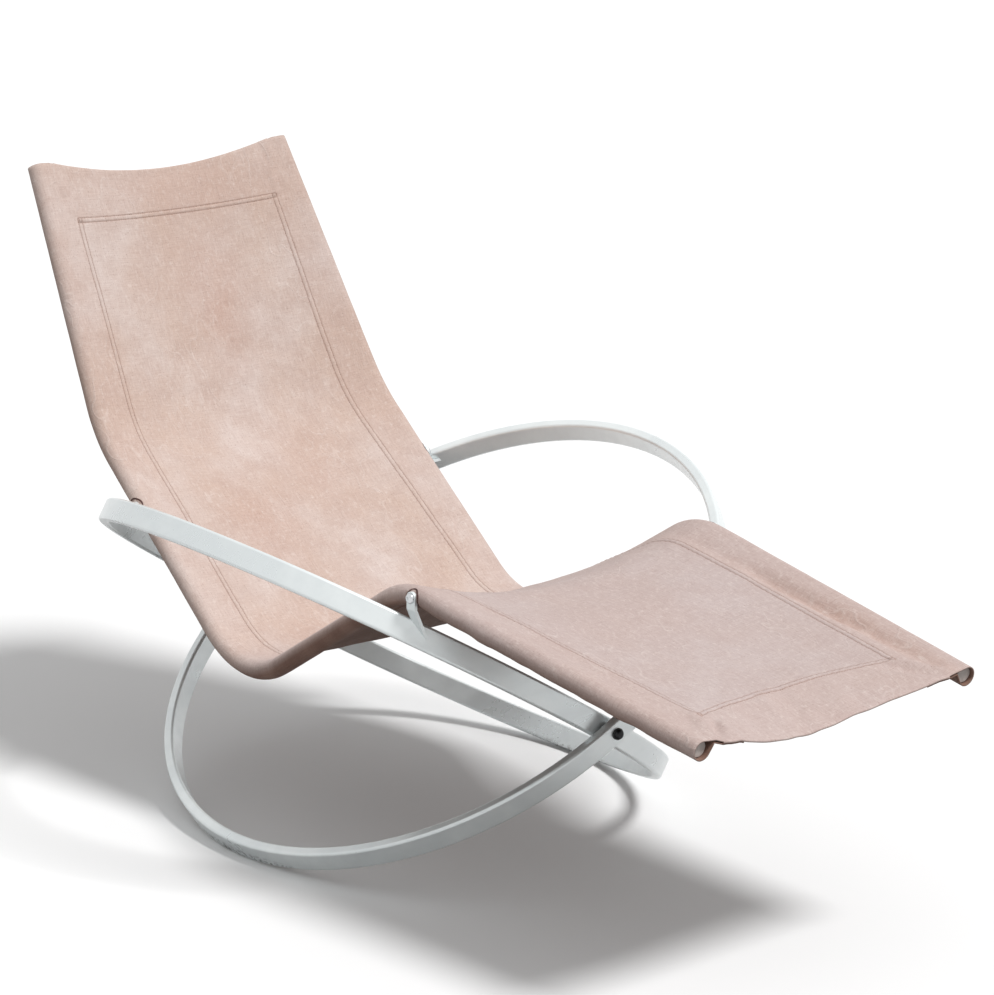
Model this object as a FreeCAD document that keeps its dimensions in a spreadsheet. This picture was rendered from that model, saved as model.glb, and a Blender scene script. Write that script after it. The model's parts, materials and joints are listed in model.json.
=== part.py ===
"""Rocking chaise lounge: two tilted hoops pinned where they cross, two bent side rails and a canvas sling.

Millimetres, +Z up. The origin is on the floor under the middle of the whole chaise, the head end is +Y and
the sitter's left side is +X. Each hoop is one closed ring of flat tube: its high side is an armrest and its
low side a rocking runner. The left hoop has its armrest on the left, and the right hoop is the same ring
turned half a turn about the vertical.
"""
import FreeCAD, Part
import math
import os

import Sketcher
from FreeCAD import Placement, Rotation, Vector

os.makedirs("parts", exist_ok=True)
doc = FreeCAD.newDocument("RockingChaise")

# Driving dimensions: alias, value, what it is
DIMENSIONS = [
    ("hoop_radius", 422.0, "radius of the hoop at the middle of its tube"),
    ("hoop_tilt", 32.5, "angle of each hoop plane to the floor, in degrees"),
    ("tube_width", 32.0, "hoop tube across its wide face"),
    ("tube_thickness", 15.0, "hoop tube through its thickness"),
    ("tube_wall", 1.5, "wall of the hoop tube"),
    ("tube_corner", 4.0, "outside corner radius of the hoop tube"),
    ("pivot_drop", 49.3, "from the centre of a hoop down its plane to the pivot axis"),
    ("pivot_gap", 7.0, "free gap between the two hoops where they cross"),
    ("pivot_bolt_diameter", 8.0, "shank of the pivot bolt"),
    ("pivot_head_diameter", 14.0, "domed head of the pivot bolt"),
    ("pivot_head_height", 4.5, "height of the pivot bolt's dome"),
    ("pivot_saddle_diameter", 16.0, "saddle washers and spacer on the pivot bolt"),
    ("pivot_saddle_height", 2.4, "saddle washer on the pivot axis"),
    ("pivot_nut_flats", 13.0, "pivot nut across flats"),
    ("pivot_nut_height", 6.5, "pivot nut height"),
    ("running_clearance", 0.1, "radial play of a bolt in its hole"),
    ("turning_play", 0.3, "play between faces that turn past each other"),
    ("thread_end", 1.5, "bolt past its nut"),
    ("rail_diameter", 22.0, "round side rail of the sling"),
    ("rail_wall", 1.5, "wall of the side rail"),
    ("head_half_span", 213.0, "middle plane to the rail at its head end"),
    ("shoulder_half_span", 243.0, "middle plane to the rail at the shoulder bend"),
    ("seat_half_span", 247.0, "middle plane to the rail in the seat valley"),
    ("knee_half_span", 247.0, "middle plane to the rail at the knee"),
    ("foot_half_span", 222.0, "middle plane to the rail at its foot end"),
    ("head_reach", 604.0, "hoop centre to the rail's head end, along the chaise"),
    ("head_height", 842.0, "floor to the rail's head end"),
    ("shoulder_reach", 402.0, "hoop centre to the shoulder bend"),
    ("shoulder_height", 492.0, "floor to the shoulder bend"),
    ("valley_reach", 49.0, "hoop centre to the corner of the seat valley"),
    ("valley_height", 208.0, "floor to the corner of the seat valley"),
    ("knee_reach", 313.0, "hoop centre to the corner of the knee bend, towards the foot"),
    ("knee_height", 431.0, "floor to the corner of the knee bend"),
    ("foot_reach", 831.0, "hoop centre to the rail's foot end"),
    ("foot_height", 352.0, "floor to the rail's foot end"),
    ("shoulder_bend", 250.0, "bend radius of the rail at the shoulder"),
    ("valley_bend", 140.0, "bend radius of the rail in the seat valley"),
    ("knee_bend", 120.0, "bend radius of the rail at the knee"),
    ("front_lug_reach", 338.0, "hoop centre to the front lugs that carry the rails"),
    ("rear_lug_reach", 300.0, "hoop centre to the rear lugs that carry the rails"),
    ("lug_thickness", 4.0, "flat bar of the rail lugs"),
    ("lug_width", 17.0, "width of the rail lugs"),
    ("lug_straight", 15.0, "lug from the rail's centre down to its bend"),
    ("lug_play", 0.2, "play between a rail and its lug or nut"),
    ("rail_bolt_diameter", 6.0, "shank of the rail bolts"),
    ("rail_head_diameter", 14.0, "domed head of the rail bolts"),
    ("rail_head_height", 5.0, "height of the rail bolt's dome"),
    ("rail_nut_flats", 10.0, "rail nut across flats"),
    ("rail_nut_height", 5.0, "rail nut height"),
    ("plug_flange", 3.0, "thickness of the rail end plug outside the tube"),
    ("plug_rounding", 1.2, "rounded rim of the rail end plug"),
    ("plug_depth", 16.0, "length of the rail end plug inside the tube"),
    ("plug_play", 0.1, "radial play of the plug in the rail"),
    ("fabric_thickness", 1.6, "canvas of the sling"),
    ("pocket_play", 0.6, "room between a rail and its hem pocket"),
    ("pocket_depth", 56.0, "rail centre to the seam that closes its pocket"),
    ("hem_overrun", 9.0, "canvas past the end of the rail"),
    ("head_sag", 22.0, "drop of the canvas between the rails at the head end"),
    ("back_sag", 36.0, "drop of the canvas between the rails along the back"),
    ("seat_sag", 6.0, "drop of the canvas between the rails in the seat valley"),
    ("knee_sag", 45.0, "drop of the canvas between the rails at the knee"),
    ("foot_sag", 15.0, "drop of the canvas between the rails at the foot end"),
    ("head_hollow", 22.0, "inward curve of the head edge of the canvas"),
    ("foot_hollow", 4.0, "inward curve of the foot edge of the canvas"),
    ("front_notch_diameter", 34.0, "round opening in the hem at each front lug"),
    ("rear_notch_diameter", 40.0, "the same at each rear lug, which crosses the hem on a slant"),
    ("notch_inset", 4.0, "rail centre outwards to where the notch starts"),
    ("hoop_centre", 111.0, "middle of the whole chaise to the centre of the hoops, towards the head"),
]

sheet = doc.addObject("Spreadsheet::Sheet", "Sizes")
for row, (alias, value, meaning) in enumerate(DIMENSIONS, start=1):
    sheet.set("A%d" % row, alias)
    sheet.set("B%d" % row, str(value))
    sheet.set("C%d" % row, meaning)
    sheet.setAlias("B%d" % row, alias)
doc.recompute()


def size(alias):
    """One driving dimension of the sheet."""
    return float(getattr(sheet, alias))


def cell(text):
    """An expression in which every word of the sheet is written as {word}."""
    return text.replace("{", "Sizes.").replace("}", "")


# Expressions that several pieces share
TILT = cell("({hoop_tilt} * 1 deg)")
SHIFT = cell("(({tube_thickness} + {pivot_gap}) / 2)")
OUTER_REACH = cell("sqrt(pow({hoop_radius} + {tube_thickness} / 2; 2) - pow({pivot_drop}; 2))")
INNER_REACH = cell("sqrt(pow({hoop_radius} - {tube_thickness} / 2; 2) - pow({pivot_drop}; 2))")
PIVOT_HEIGHT = cell(
    "(({hoop_radius} + {tube_thickness} / 2 - {tube_corner} - {pivot_drop}) * sin({hoop_tilt} * 1 deg)"
    " + ({tube_width} / 2 - {tube_corner}) * cos({hoop_tilt} * 1 deg) + {tube_corner})"
)
LEFT, RIGHT = 1, -1
FRONT, REAR = -1, 1
SIDE_WORD = {LEFT: "left", RIGHT: "right"}
END_WORD = {FRONT: "front", REAR: "rear"}
exported = []


def piece(obj, label):
    """Label a finished object and list it as a piece to write."""
    obj.Label = label
    exported.append(obj)
    return obj


def bind(obj, **sizes):
    """Tie properties of an object to expressions."""
    for prop, text in sizes.items():
        obj.setExpression(prop, cell(text))
    return obj


def place(obj, x, y, z, yaw="0", pitch="0", roll="0"):
    """Tie the placement of an object to expressions, angles in degrees."""
    angles = "; ".join("(%s) * 1 deg" % angle for angle in (yaw, pitch, roll))
    text = "placement(vector(%s; %s; %s); rotation(%s))" % (x, y, z, angles)
    obj.setExpression("Placement", cell(text))
    return obj


# Sketches of the bodies
def new_sketch(body, name, role):
    sketch = body.newObject("Sketcher::SketchObject", name)
    plane = [feature for feature in body.Origin.OriginFeatures if feature.Role == role][0]
    sketch.AttachmentSupport = [(plane, "")]
    sketch.MapMode = "FlatFace"
    return sketch


def dimension(sketch, constraint, name, text):
    """Add a driving constraint that follows an expression."""
    index = sketch.addConstraint(constraint)
    sketch.renameConstraint(index, name)
    sketch.setExpression("Constraints." + name, cell(text))


def rectangle(sketch, left, width, height, start):
    """Rectangle level with the horizontal axis: left edge, width and height are expressions."""
    x0, x1, half = start[0], start[0] + start[1], start[2] / 2
    corners = [Vector(x0, -half, 0), Vector(x1, -half, 0), Vector(x1, half, 0), Vector(x0, half, 0)]
    for first, second in zip(corners, corners[1:] + corners[:1]):
        sketch.addGeometry(Part.LineSegment(first, second))
    for index in range(4):
        sketch.addConstraint(Sketcher.Constraint("Coincident", index, 2, (index + 1) % 4, 1))
    for index, kind in enumerate(["Horizontal", "Vertical", "Horizontal", "Vertical"]):
        sketch.addConstraint(Sketcher.Constraint(kind, index))
    dimension(sketch, Sketcher.Constraint("DistanceX", -1, 1, 0, 1, x0), "inner_edge", left)
    dimension(sketch, Sketcher.Constraint("DistanceX", 0, 1, 0, 2, x1 - x0), "across", width)
    dimension(sketch, Sketcher.Constraint("DistanceY", 1, 1, 1, 2, 2 * half), "along", height)
    dimension(sketch, Sketcher.Constraint("DistanceY", 1, 1, -1, 1, half), "below", "(%s) / 2" % height)


def circle(sketch, radius, start, offset=None, start_offset=0.0):
    """Circle on the horizontal axis, at the origin or an offset to its negative side."""
    sketch.addGeometry(Part.Circle(Vector(-start_offset, 0, 0), Vector(0, 0, 1), start))
    index = sketch.GeometryCount - 1
    if offset is None:
        sketch.addConstraint(Sketcher.Constraint("Coincident", index, 3, -1, 1))
    else:
        sketch.addConstraint(Sketcher.Constraint("PointOnObject", index, 3, -1))
        gap = Sketcher.Constraint("DistanceX", index, 3, -1, 1, start_offset)
        dimension(sketch, gap, "offset_%d" % index, offset)
    dimension(sketch, Sketcher.Constraint("Radius", index, start), "radius_%d" % index, radius)


def edges_on_circles(shape, wanted):
    """Names of the circular edges of a shape for which wanted(curve) holds."""
    names = []
    for number, edge in enumerate(shape.Edges, start=1):
        if isinstance(edge.Curve, Part.Circle) and wanted(edge.Curve):
            names.append("Edge%d" % number)
    return names


def round_edges(body, base, name, radius, wanted):
    """Fillet the circular edges of a body for which wanted(curve) holds."""
    doc.recompute()
    fillet = body.newObject("PartDesign::Fillet", name)
    fillet.Base = (base, edges_on_circles(base.Shape, wanted))
    fillet.Radius = 0.1
    bind(fillet, Radius=radius)
    return fillet


def bevel_edges(body, base, name, radius, wanted):
    """Turn a ring's circular edges into three flats each, tangent to the rounding of that radius."""
    steps = (
        "(%s) * (2 - sqrt(2))",
        "(%s) * (tan(22.5 * 1 deg) - tan(11.25 * 1 deg))",
    )
    for number, step in enumerate(steps, start=1):
        doc.recompute()
        bevel = body.newObject("PartDesign::Chamfer", "%s%d" % (name, number))
        bevel.Base = (base, edges_on_circles(base.Shape, wanted))
        bevel.Size = 0.1
        bind(bevel, Size=step % radius)
        base = bevel
    return base


# Hoops
def hoop(name, hollow):
    """Closed ring of flat tube about the local Z axis, with the two holes of the pivot bolts."""
    radius, thickness, width = size("hoop_radius"), size("tube_thickness"), size("tube_width")
    corner, wall, drop = size("tube_corner"), size("tube_wall"), size("pivot_drop")
    body = doc.addObject("PartDesign::Body", name)
    outline = new_sketch(body, name + "Outline", "XZ_Plane")
    edge = "{hoop_radius} - {tube_thickness} / 2"
    rectangle(outline, edge, "{tube_thickness}", "{tube_width}", (radius - thickness / 2, thickness, width))
    ring = body.newObject("PartDesign::Revolution", name + "Ring")
    ring.Profile = outline
    ring.ReferenceAxis = (outline, ["V_Axis"])
    ring.Angle = 360
    tip = bevel_edges(body, ring, name + "Corner", "{tube_corner}", lambda curve: True)
    if not hollow:
        return body
    bore = new_sketch(body, name + "Bore", "XZ_Plane")
    inside = (radius - thickness / 2 + wall, thickness - 2 * wall, width - 2 * wall)
    rectangle(
        bore,
        edge + " + {tube_wall}",
        "{tube_thickness} - 2 * {tube_wall}",
        "{tube_width} - 2 * {tube_wall}",
        inside,
    )
    cavity = body.newObject("PartDesign::Groove", name + "Cavity")
    cavity.Profile = bore
    cavity.ReferenceAxis = (bore, ["V_Axis"])
    cavity.Angle = 360
    level = width / 2 - wall
    tip = bevel_edges(
        body,
        cavity,
        name + "InnerCorner",
        "{tube_corner} - {tube_wall}",
        lambda curve: abs(curve.Center.z) < level + 0.01
        and inside[0] - 0.01 < curve.Radius < inside[0] + inside[1] + 0.01,
    )
    doc.recompute()
    before = tip.Shape.Volume
    holes = new_sketch(body, name + "PivotHoles", "YZ_Plane")
    circle(
        holes,
        "{pivot_bolt_diameter} / 2 + {running_clearance}",
        size("pivot_bolt_diameter") / 2 + size("running_clearance"),
        "{pivot_drop}",
        drop,
    )
    cut = body.newObject("PartDesign::Pocket", name + "PivotHolePair")
    cut.Profile = holes
    cut.Type = "Length"
    cut.Midplane = True
    cut.Length = 3 * radius
    bind(cut, Length="3 * {hoop_radius}")
    doc.recompute()
    if cut.Shape.Volume > before - 100:
        raise RuntimeError(name + ": the pivot holes cut nothing")
    return body


def place_hoop(obj, side):
    """Put a ring made flat about the origin on its tilt, with its armrest on the given side."""
    return place(
        obj,
        "%d * {pivot_drop} * cos(%s)" % (side, TILT),
        "{hoop_centre} - %d * %s" % (side, SHIFT),
        "%s + {pivot_drop} * sin(%s)" % (PIVOT_HEIGHT, TILT),
        yaw="%d" % (-90 * side),
        roll="{hoop_tilt}",
    )


hoops = {}
envelopes = {}
for side in (RIGHT, LEFT):
    word = SIDE_WORD[side]
    hoops[side] = piece(place_hoop(hoop(word.title() + "Hoop", True), side), word + "_arm_hoop")
    envelopes[side] = place_hoop(hoop(word.title() + "HoopEnvelope", False), side)
doc.recompute()


# Fasteners
def domed_bolt(name, diameter, head, height, length):
    """Bolt along local +Z with its domed head below the origin."""
    body = doc.addObject("PartDesign::Body", name)
    shank = new_sketch(body, name + "ShankCircle", "XY_Plane")
    circle(shank, "{%s} / 2" % diameter, size(diameter) / 2)
    pad = body.newObject("PartDesign::Pad", name + "Shank")
    pad.Profile = shank
    bind(pad, Length=length)
    rim = new_sketch(body, name + "HeadCircle", "XY_Plane")
    circle(rim, "{%s} / 2" % head, size(head) / 2)
    cap = body.newObject("PartDesign::Pad", name + "Head")
    cap.Profile = rim
    cap.Reversed = True
    bind(cap, Length="{%s}" % height)
    low, wide = -size(height), size(head) / 2
    dome = "{%s} * 0.85" % height
    round_edges(
        body,
        cap,
        name + "Dome",
        dome,
        lambda curve: abs(curve.Center.z - low) < 0.01 and abs(curve.Radius - wide) < 0.01,
    )
    return body


def hex_nut(name, flats, height, bore):
    """Hexagon nut along local +Z on the origin."""
    block = doc.addObject("Part::Prism", name + "Block")
    block.Polygon = 6
    bind(block, Circumradius="{%s} / sqrt(3)" % flats, Height="{%s}" % height)
    hole = doc.addObject("Part::Cylinder", name + "Hole")
    bind(hole, Radius="{%s} / 2 + 0.02" % bore, Height="{%s}" % height)
    nut = doc.addObject("Part::Cut", name)
    nut.Base = block
    nut.Tool = hole
    return nut


def ring_on_pivot(name, end, start, height):
    """Disc with a bolt hole on the pivot axis, from start outwards by height."""
    parts = []
    for part, radius in (
        ("Disc", "{pivot_saddle_diameter} / 2"),
        ("Hole", "{pivot_bolt_diameter} / 2 + {running_clearance}"),
    ):
        cylinder = doc.addObject("Part::Cylinder", name + part)
        bind(cylinder, Radius=radius, Height=height)
        place(
            cylinder,
            "0",
            "{hoop_centre} + %d * (%s)" % (end, start),
            PIVOT_HEIGHT,
            roll="%d" % (-90 * end),
        )
        parts.append(cylinder)
    ring = doc.addObject("Part::Cut", name + "Ring")
    ring.Base, ring.Tool = parts
    return ring


def cope(name, base, tool):
    """Cut a piece to the outside of a hoop so that it seats on it."""
    cut = doc.addObject("Part::Cut", name)
    cut.Base = base
    cut.Tool = tool
    cut.Refine = True
    return cut


# Pivots: at the front the left hoop is the outer one, at the rear the right hoop is
HEAD_SEAT = "%s + %s + {pivot_saddle_height}" % (SHIFT, OUTER_REACH)
NUT_SEAT = "%s - %s - {pivot_saddle_height} - {turning_play}" % (INNER_REACH, SHIFT)
SLOPE = "{pivot_drop} / (2 * {hoop_radius})"
SPACER_START = "%s - %s + {pivot_saddle_diameter} * %s + 2 * {turning_play}" % (OUTER_REACH, SHIFT, SLOPE)
HALF_TUBE = "{tube_thickness} / 2"
for end, outer, inner in ((FRONT, LEFT, RIGHT), (REAR, RIGHT, LEFT)):
    word = END_WORD[end]
    title = word.title() + "Pivot"
    bolt = domed_bolt(
        title + "Bolt",
        "pivot_bolt_diameter",
        "pivot_head_diameter",
        "pivot_head_height",
        "(%s) - (%s) + {pivot_nut_height} + {thread_end}" % (HEAD_SEAT, NUT_SEAT),
    )
    place(bolt, "0", "{hoop_centre} + %d * (%s)" % (end, HEAD_SEAT), PIVOT_HEIGHT, roll="%d" % (90 * end))
    piece(bolt, word + "_pivot_bolt")

    start = "%s + %s - %s" % (SHIFT, OUTER_REACH, HALF_TUBE)
    ring = ring_on_pivot(title + "OuterSaddle", end, start, "{pivot_saddle_height} + " + HALF_TUBE)
    piece(cope(title + "OuterSaddleWasher", ring, envelopes[outer]), word + "_pivot_outer_saddle")

    length = "(%s) + %s - (%s) + %s" % (SHIFT, INNER_REACH, SPACER_START, HALF_TUBE)
    ring = ring_on_pivot(title + "Spacer", end, SPACER_START, length)
    piece(cope(title + "SpacerBlock", ring, envelopes[outer]), word + "_pivot_spacer")

    start = "%s - %s - {pivot_saddle_height}" % (INNER_REACH, SHIFT)
    ring = ring_on_pivot(title + "InnerSaddle", end, start, "{pivot_saddle_height} + " + HALF_TUBE)
    piece(cope(title + "InnerSaddleWasher", ring, envelopes[inner]), word + "_pivot_inner_saddle")

    nut = hex_nut(title + "Nut", "pivot_nut_flats", "pivot_nut_height", "pivot_bolt_diameter")
    place(nut, "0", "{hoop_centre} + %d * (%s)" % (end, NUT_SEAT), PIVOT_HEIGHT, roll="%d" % (90 * end))
    piece(nut, word + "_pivot_nut")
doc.recompute()


# Side rails: straight runs joined by tangent arcs
def rail_route(side):
    """Corner points of a rail and its bend radii, from the head end to the foot end."""
    middle = size("hoop_centre")
    corners = [
        Vector(side * size("head_half_span"), middle + size("head_reach"), size("head_height")),
        Vector(side * size("shoulder_half_span"), middle + size("shoulder_reach"), size("shoulder_height")),
        Vector(side * size("seat_half_span"), middle + size("valley_reach"), size("valley_height")),
        Vector(side * size("knee_half_span"), middle - size("knee_reach"), size("knee_height")),
        Vector(side * size("foot_half_span"), middle - size("foot_reach"), size("foot_height")),
    ]
    return corners, [size("shoulder_bend"), size("valley_bend"), size("knee_bend")]


def rail_wire(side):
    """Centre line of a rail."""
    corners, radii = rail_route(side)
    edges = []
    start = corners[0]
    for before, corner, after, radius in zip(corners, corners[1:], corners[2:], radii):
        incoming = (before - corner).normalize()
        outgoing = (after - corner).normalize()
        half = math.acos(incoming.dot(outgoing)) / 2
        reach = radius / math.tan(half)
        first, last = corner + incoming * reach, corner + outgoing * reach
        bisector = (incoming + outgoing).normalize()
        middle = corner + bisector * (radius / math.sin(half) - radius)
        edges.append(Part.LineSegment(start, first).toShape())
        edges.append(Part.Arc(first, middle, last).toShape())
        start = last
    edges.append(Part.LineSegment(start, corners[-1]).toShape())
    return Part.Wire(edges)


def tube_along(wire, radius):
    """Solid round bar along a centre line."""
    first = wire.Edges[0]
    start, direction = first.valueAt(first.FirstParameter), first.tangentAt(first.FirstParameter)
    profile = Part.Wire(Part.Circle(start, direction, radius).toShape())
    return wire.makePipeShell([profile], True, False)


def rail_at(side, reach):
    """Point on a rail's centre line at a distance from the hoop centre, along the chaise."""
    y = size("hoop_centre") + reach
    for edge in rail_wire(side).Edges:
        low, high = edge.FirstParameter, edge.LastParameter
        if (edge.valueAt(low).y - y) * (edge.valueAt(high).y - y) > 0:
            continue
        for _ in range(60):
            middle = (low + high) / 2
            if (edge.valueAt(low).y - y) * (edge.valueAt(middle).y - y) <= 0:
                high = middle
            else:
                low = middle
        return edge.valueAt((low + high) / 2)
    raise RuntimeError("no point of the rail at %.1f" % reach)


def lug_station(end):
    """Place of an end's lugs along the chaise, from the hoop centre."""
    return end * size(END_WORD[end] + "_lug_reach")


def arm_at(side, reach):
    """Centre of a hoop's tube above its pivot at a distance from the hoop centre, along the chaise."""
    tilt = math.radians(size("hoop_tilt"))
    shift = (size("tube_thickness") + size("pivot_gap")) / 2
    along = reach + side * shift
    up_plane = size("pivot_drop") + math.sqrt(size("hoop_radius") ** 2 - along**2)
    pivot = (
        (size("hoop_radius") + size("tube_thickness") / 2 - size("tube_corner") - size("pivot_drop"))
        * math.sin(tilt)
        + (size("tube_width") / 2 - size("tube_corner")) * math.cos(tilt)
        + size("tube_corner")
    )
    return Vector(
        side * up_plane * math.cos(tilt),
        size("hoop_centre") + reach,
        pivot + up_plane * math.sin(tilt),
    )


def facing(direction):
    """Rotation that turns +Z to a direction."""
    return Rotation(Vector(0, 0, 1), direction)


rail_radius = size("rail_diameter") / 2
for side in (RIGHT, LEFT):
    word = SIDE_WORD[side]
    wire = rail_wire(side)
    solid = tube_along(wire, rail_radius).cut(tube_along(wire, rail_radius - size("rail_wall")))
    area = math.pi * (rail_radius**2 - (rail_radius - size("rail_wall")) ** 2)
    print("%s rail: length %.1f, volume over section x length %.4f"
          % (word, wire.Length, solid.Volume / (area * wire.Length)))
    for end in (FRONT, REAR):
        station = rail_at(side, lug_station(end))
        drill = Part.makeCylinder(
            size("rail_bolt_diameter") / 2 + size("running_clearance"),
            4 * rail_radius,
            station - Vector(2 * rail_radius, 0, 0),
            Vector(1, 0, 0),
        )
        solid = solid.cut(drill)
    rail = doc.addObject("Part::Feature", word.title() + "Rail")
    rail.Shape = solid
    piece(rail, word + "_side_rail")

    for name, edge, parameter in (
        ("head", wire.Edges[0], "FirstParameter"),
        ("foot", wire.Edges[-1], "LastParameter"),
    ):
        at = getattr(edge, parameter)
        outward = edge.tangentAt(at) * (-1 if name == "head" else 1)
        title = word.title() + name.title() + "Plug"
        body = doc.addObject("PartDesign::Body", title)
        stem = new_sketch(body, title + "StemCircle", "XY_Plane")
        circle(
            stem,
            "{rail_diameter} / 2 - {rail_wall} - {plug_play}",
            rail_radius - size("rail_wall") - size("plug_play"),
        )
        inside = body.newObject("PartDesign::Pad", title + "Stem")
        inside.Profile = stem
        inside.Reversed = True
        bind(inside, Length="{plug_depth}")
        rim = new_sketch(body, title + "FlangeCircle", "XY_Plane")
        circle(rim, "{rail_diameter} / 2", rail_radius)
        flange = body.newObject("PartDesign::Pad", title + "Flange")
        flange.Profile = rim
        bind(flange, Length="{plug_flange}")
        top = size("plug_flange")
        round_edges(
            body,
            flange,
            title + "Rim",
            "{plug_rounding}",
            lambda curve: abs(curve.Center.z - top) < 0.01,
        )
        body.Placement = Placement(edge.valueAt(at), facing(outward))
        piece(body, "%s_rail_%s_plug" % (word, name))


# Lugs, their bolts and nuts
for side in (RIGHT, LEFT):
    for end in (FRONT, REAR):
        words = SIDE_WORD[side] + "_" + END_WORD[end]
        title = SIDE_WORD[side].title() + END_WORD[end].title()
        rail_point = rail_at(side, lug_station(end))
        arm_point = arm_at(side, lug_station(end))
        outward = Vector(side, 0, 0)
        half = size("lug_thickness") / 2
        face = rail_point + outward * (rail_radius + size("lug_play"))
        bend = face + outward * half - Vector(0, 0, size("lug_straight"))

        eye = doc.addObject("Part::Cylinder", title + "LugEye")
        bind(eye, Radius="{lug_width} / 2", Height="{lug_thickness}")
        eye.Placement = Placement(face, facing(outward))
        flat = doc.addObject("Part::Box", title + "LugFlat")
        bind(flat, Length="{lug_thickness}", Width="{lug_width}", Height="{lug_straight}")
        flat.Placement = Placement(
            bend - Vector(half, size("lug_width") / 2, 0),
            Rotation(),
        )
        roll = doc.addObject("Part::Cylinder", title + "LugBend")
        bind(roll, Radius="{lug_thickness} / 2", Height="{lug_width}")
        roll.Placement = Placement(bend - Vector(0, size("lug_width") / 2, 0), facing(Vector(0, 1, 0)))
        foot = doc.addObject("Part::Box", title + "LugFoot")
        bind(foot, Length="{lug_thickness}", Width="{lug_width}")
        foot.Height = (arm_point - bend).Length
        turn = Rotation(Vector(0, 0, 1), arm_point - bend)
        corner = turn.multVec(Vector(-half, -size("lug_width") / 2, 0))
        foot.Placement = Placement(bend + corner, turn)
        strip = doc.addObject("Part::MultiFuse", title + "LugStrip")
        strip.Shapes = [eye, flat, roll, foot]
        strip.Refine = True
        hole = doc.addObject("Part::Cylinder", title + "LugHole")
        bind(hole, Radius="{rail_bolt_diameter} / 2 + {running_clearance}", Height="3 * {lug_thickness}")
        hole.Placement = Placement(face - outward * size("lug_thickness"), facing(outward))
        drilled = doc.addObject("Part::Cut", title + "LugDrilled")
        drilled.Base = strip
        drilled.Tool = hole
        doc.recompute()
        lug = doc.addObject("Part::Feature", title + "Lug")
        coped = drilled.Shape.cut(envelopes[side].Shape)
        lug.Shape = max(coped.Solids, key=lambda solid: solid.Volume)
        piece(lug, words + "_lug")

        bolt = domed_bolt(
            title + "RailBolt",
            "rail_bolt_diameter",
            "rail_head_diameter",
            "rail_head_height",
            "{lug_thickness} + 2 * {lug_play} + {rail_diameter} + {rail_nut_height} + {thread_end}",
        )
        bolt.Placement = Placement(face + outward * size("lug_thickness"), facing(outward * -1))
        piece(bolt, words + "_rail_bolt")
        nut = hex_nut(title + "RailNut", "rail_nut_flats", "rail_nut_height", "rail_bolt_diameter")
        inner_face = rail_point - outward * (rail_radius + size("lug_play"))
        nut.Placement = Placement(inner_face, facing(outward * -1))
        piece(nut, words + "_rail_nut")
doc.recompute()


# Sling: lofted through sections square to the rails, with a hem pocket round each rail
def frames():
    """Sections of the sling: middle point, normal, half span and sag, from the head end to the foot end."""
    wire = rail_wire(LEFT)
    edges = wire.Edges
    lengths = [edge.Length for edge in edges]
    starts = [sum(lengths[:index]) for index in range(len(edges))]
    total = sum(lengths)
    shoulder, valley, knee = [starts[index] + lengths[index] / 2 for index in (1, 3, 5)]
    sag_at = [
        (-size("hem_overrun"), size("head_sag")),
        ((shoulder - size("hem_overrun")) / 2, (size("head_sag") + size("back_sag")) / 2),
        (shoulder, size("back_sag")),
        ((shoulder + valley) / 2, (size("back_sag") + size("seat_sag")) / 2),
        (valley, size("seat_sag")),
        (valley + (knee - valley) * 0.45, size("seat_sag") + (size("knee_sag") - size("seat_sag")) * 0.1),
        (knee, size("knee_sag")),
        (knee + (total - knee) * 0.35, size("knee_sag") * 0.4 + size("foot_sag") * 0.6),
        (total + size("hem_overrun"), size("foot_sag")),
    ]

    def sag(along):
        for (low, first), (high, second) in zip(sag_at, sag_at[1:]):
            if along <= high + 0.001:
                share = min(max((along - low) / (high - low), 0), 1)
                share = share * share * (3 - 2 * share)
                return first + (second - first) * share
        return sag_at[-1][1]

    sections = []
    for number, (edge, start, length) in enumerate(zip(edges, starts, lengths)):
        bend = number % 2 == 1
        steps = max(2, int(round(length / (20 if bend else 75))))
        for index in range(steps + (number == len(edges) - 1)):
            share = index / steps
            at = edge.FirstParameter + (edge.LastParameter - edge.FirstParameter) * share
            sections.append((edge.valueAt(at), edge.tangentAt(at), start + length * share))
    first, last = sections[0], sections[-1]
    over = size("hem_overrun")
    sections[0] = (first[0] - first[1] * over, first[1], -over)
    sections[-1] = (last[0] + last[1] * over, last[1], total + over)
    result = []
    for point, tangent, along in sections:
        normal = Vector(0, -tangent.z, tangent.y)
        if normal.z < 0:
            normal = normal * -1
        normal.normalize()
        result.append((Vector(0, point.y, point.z), normal, point.x, sag(along)))
    return result


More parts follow.
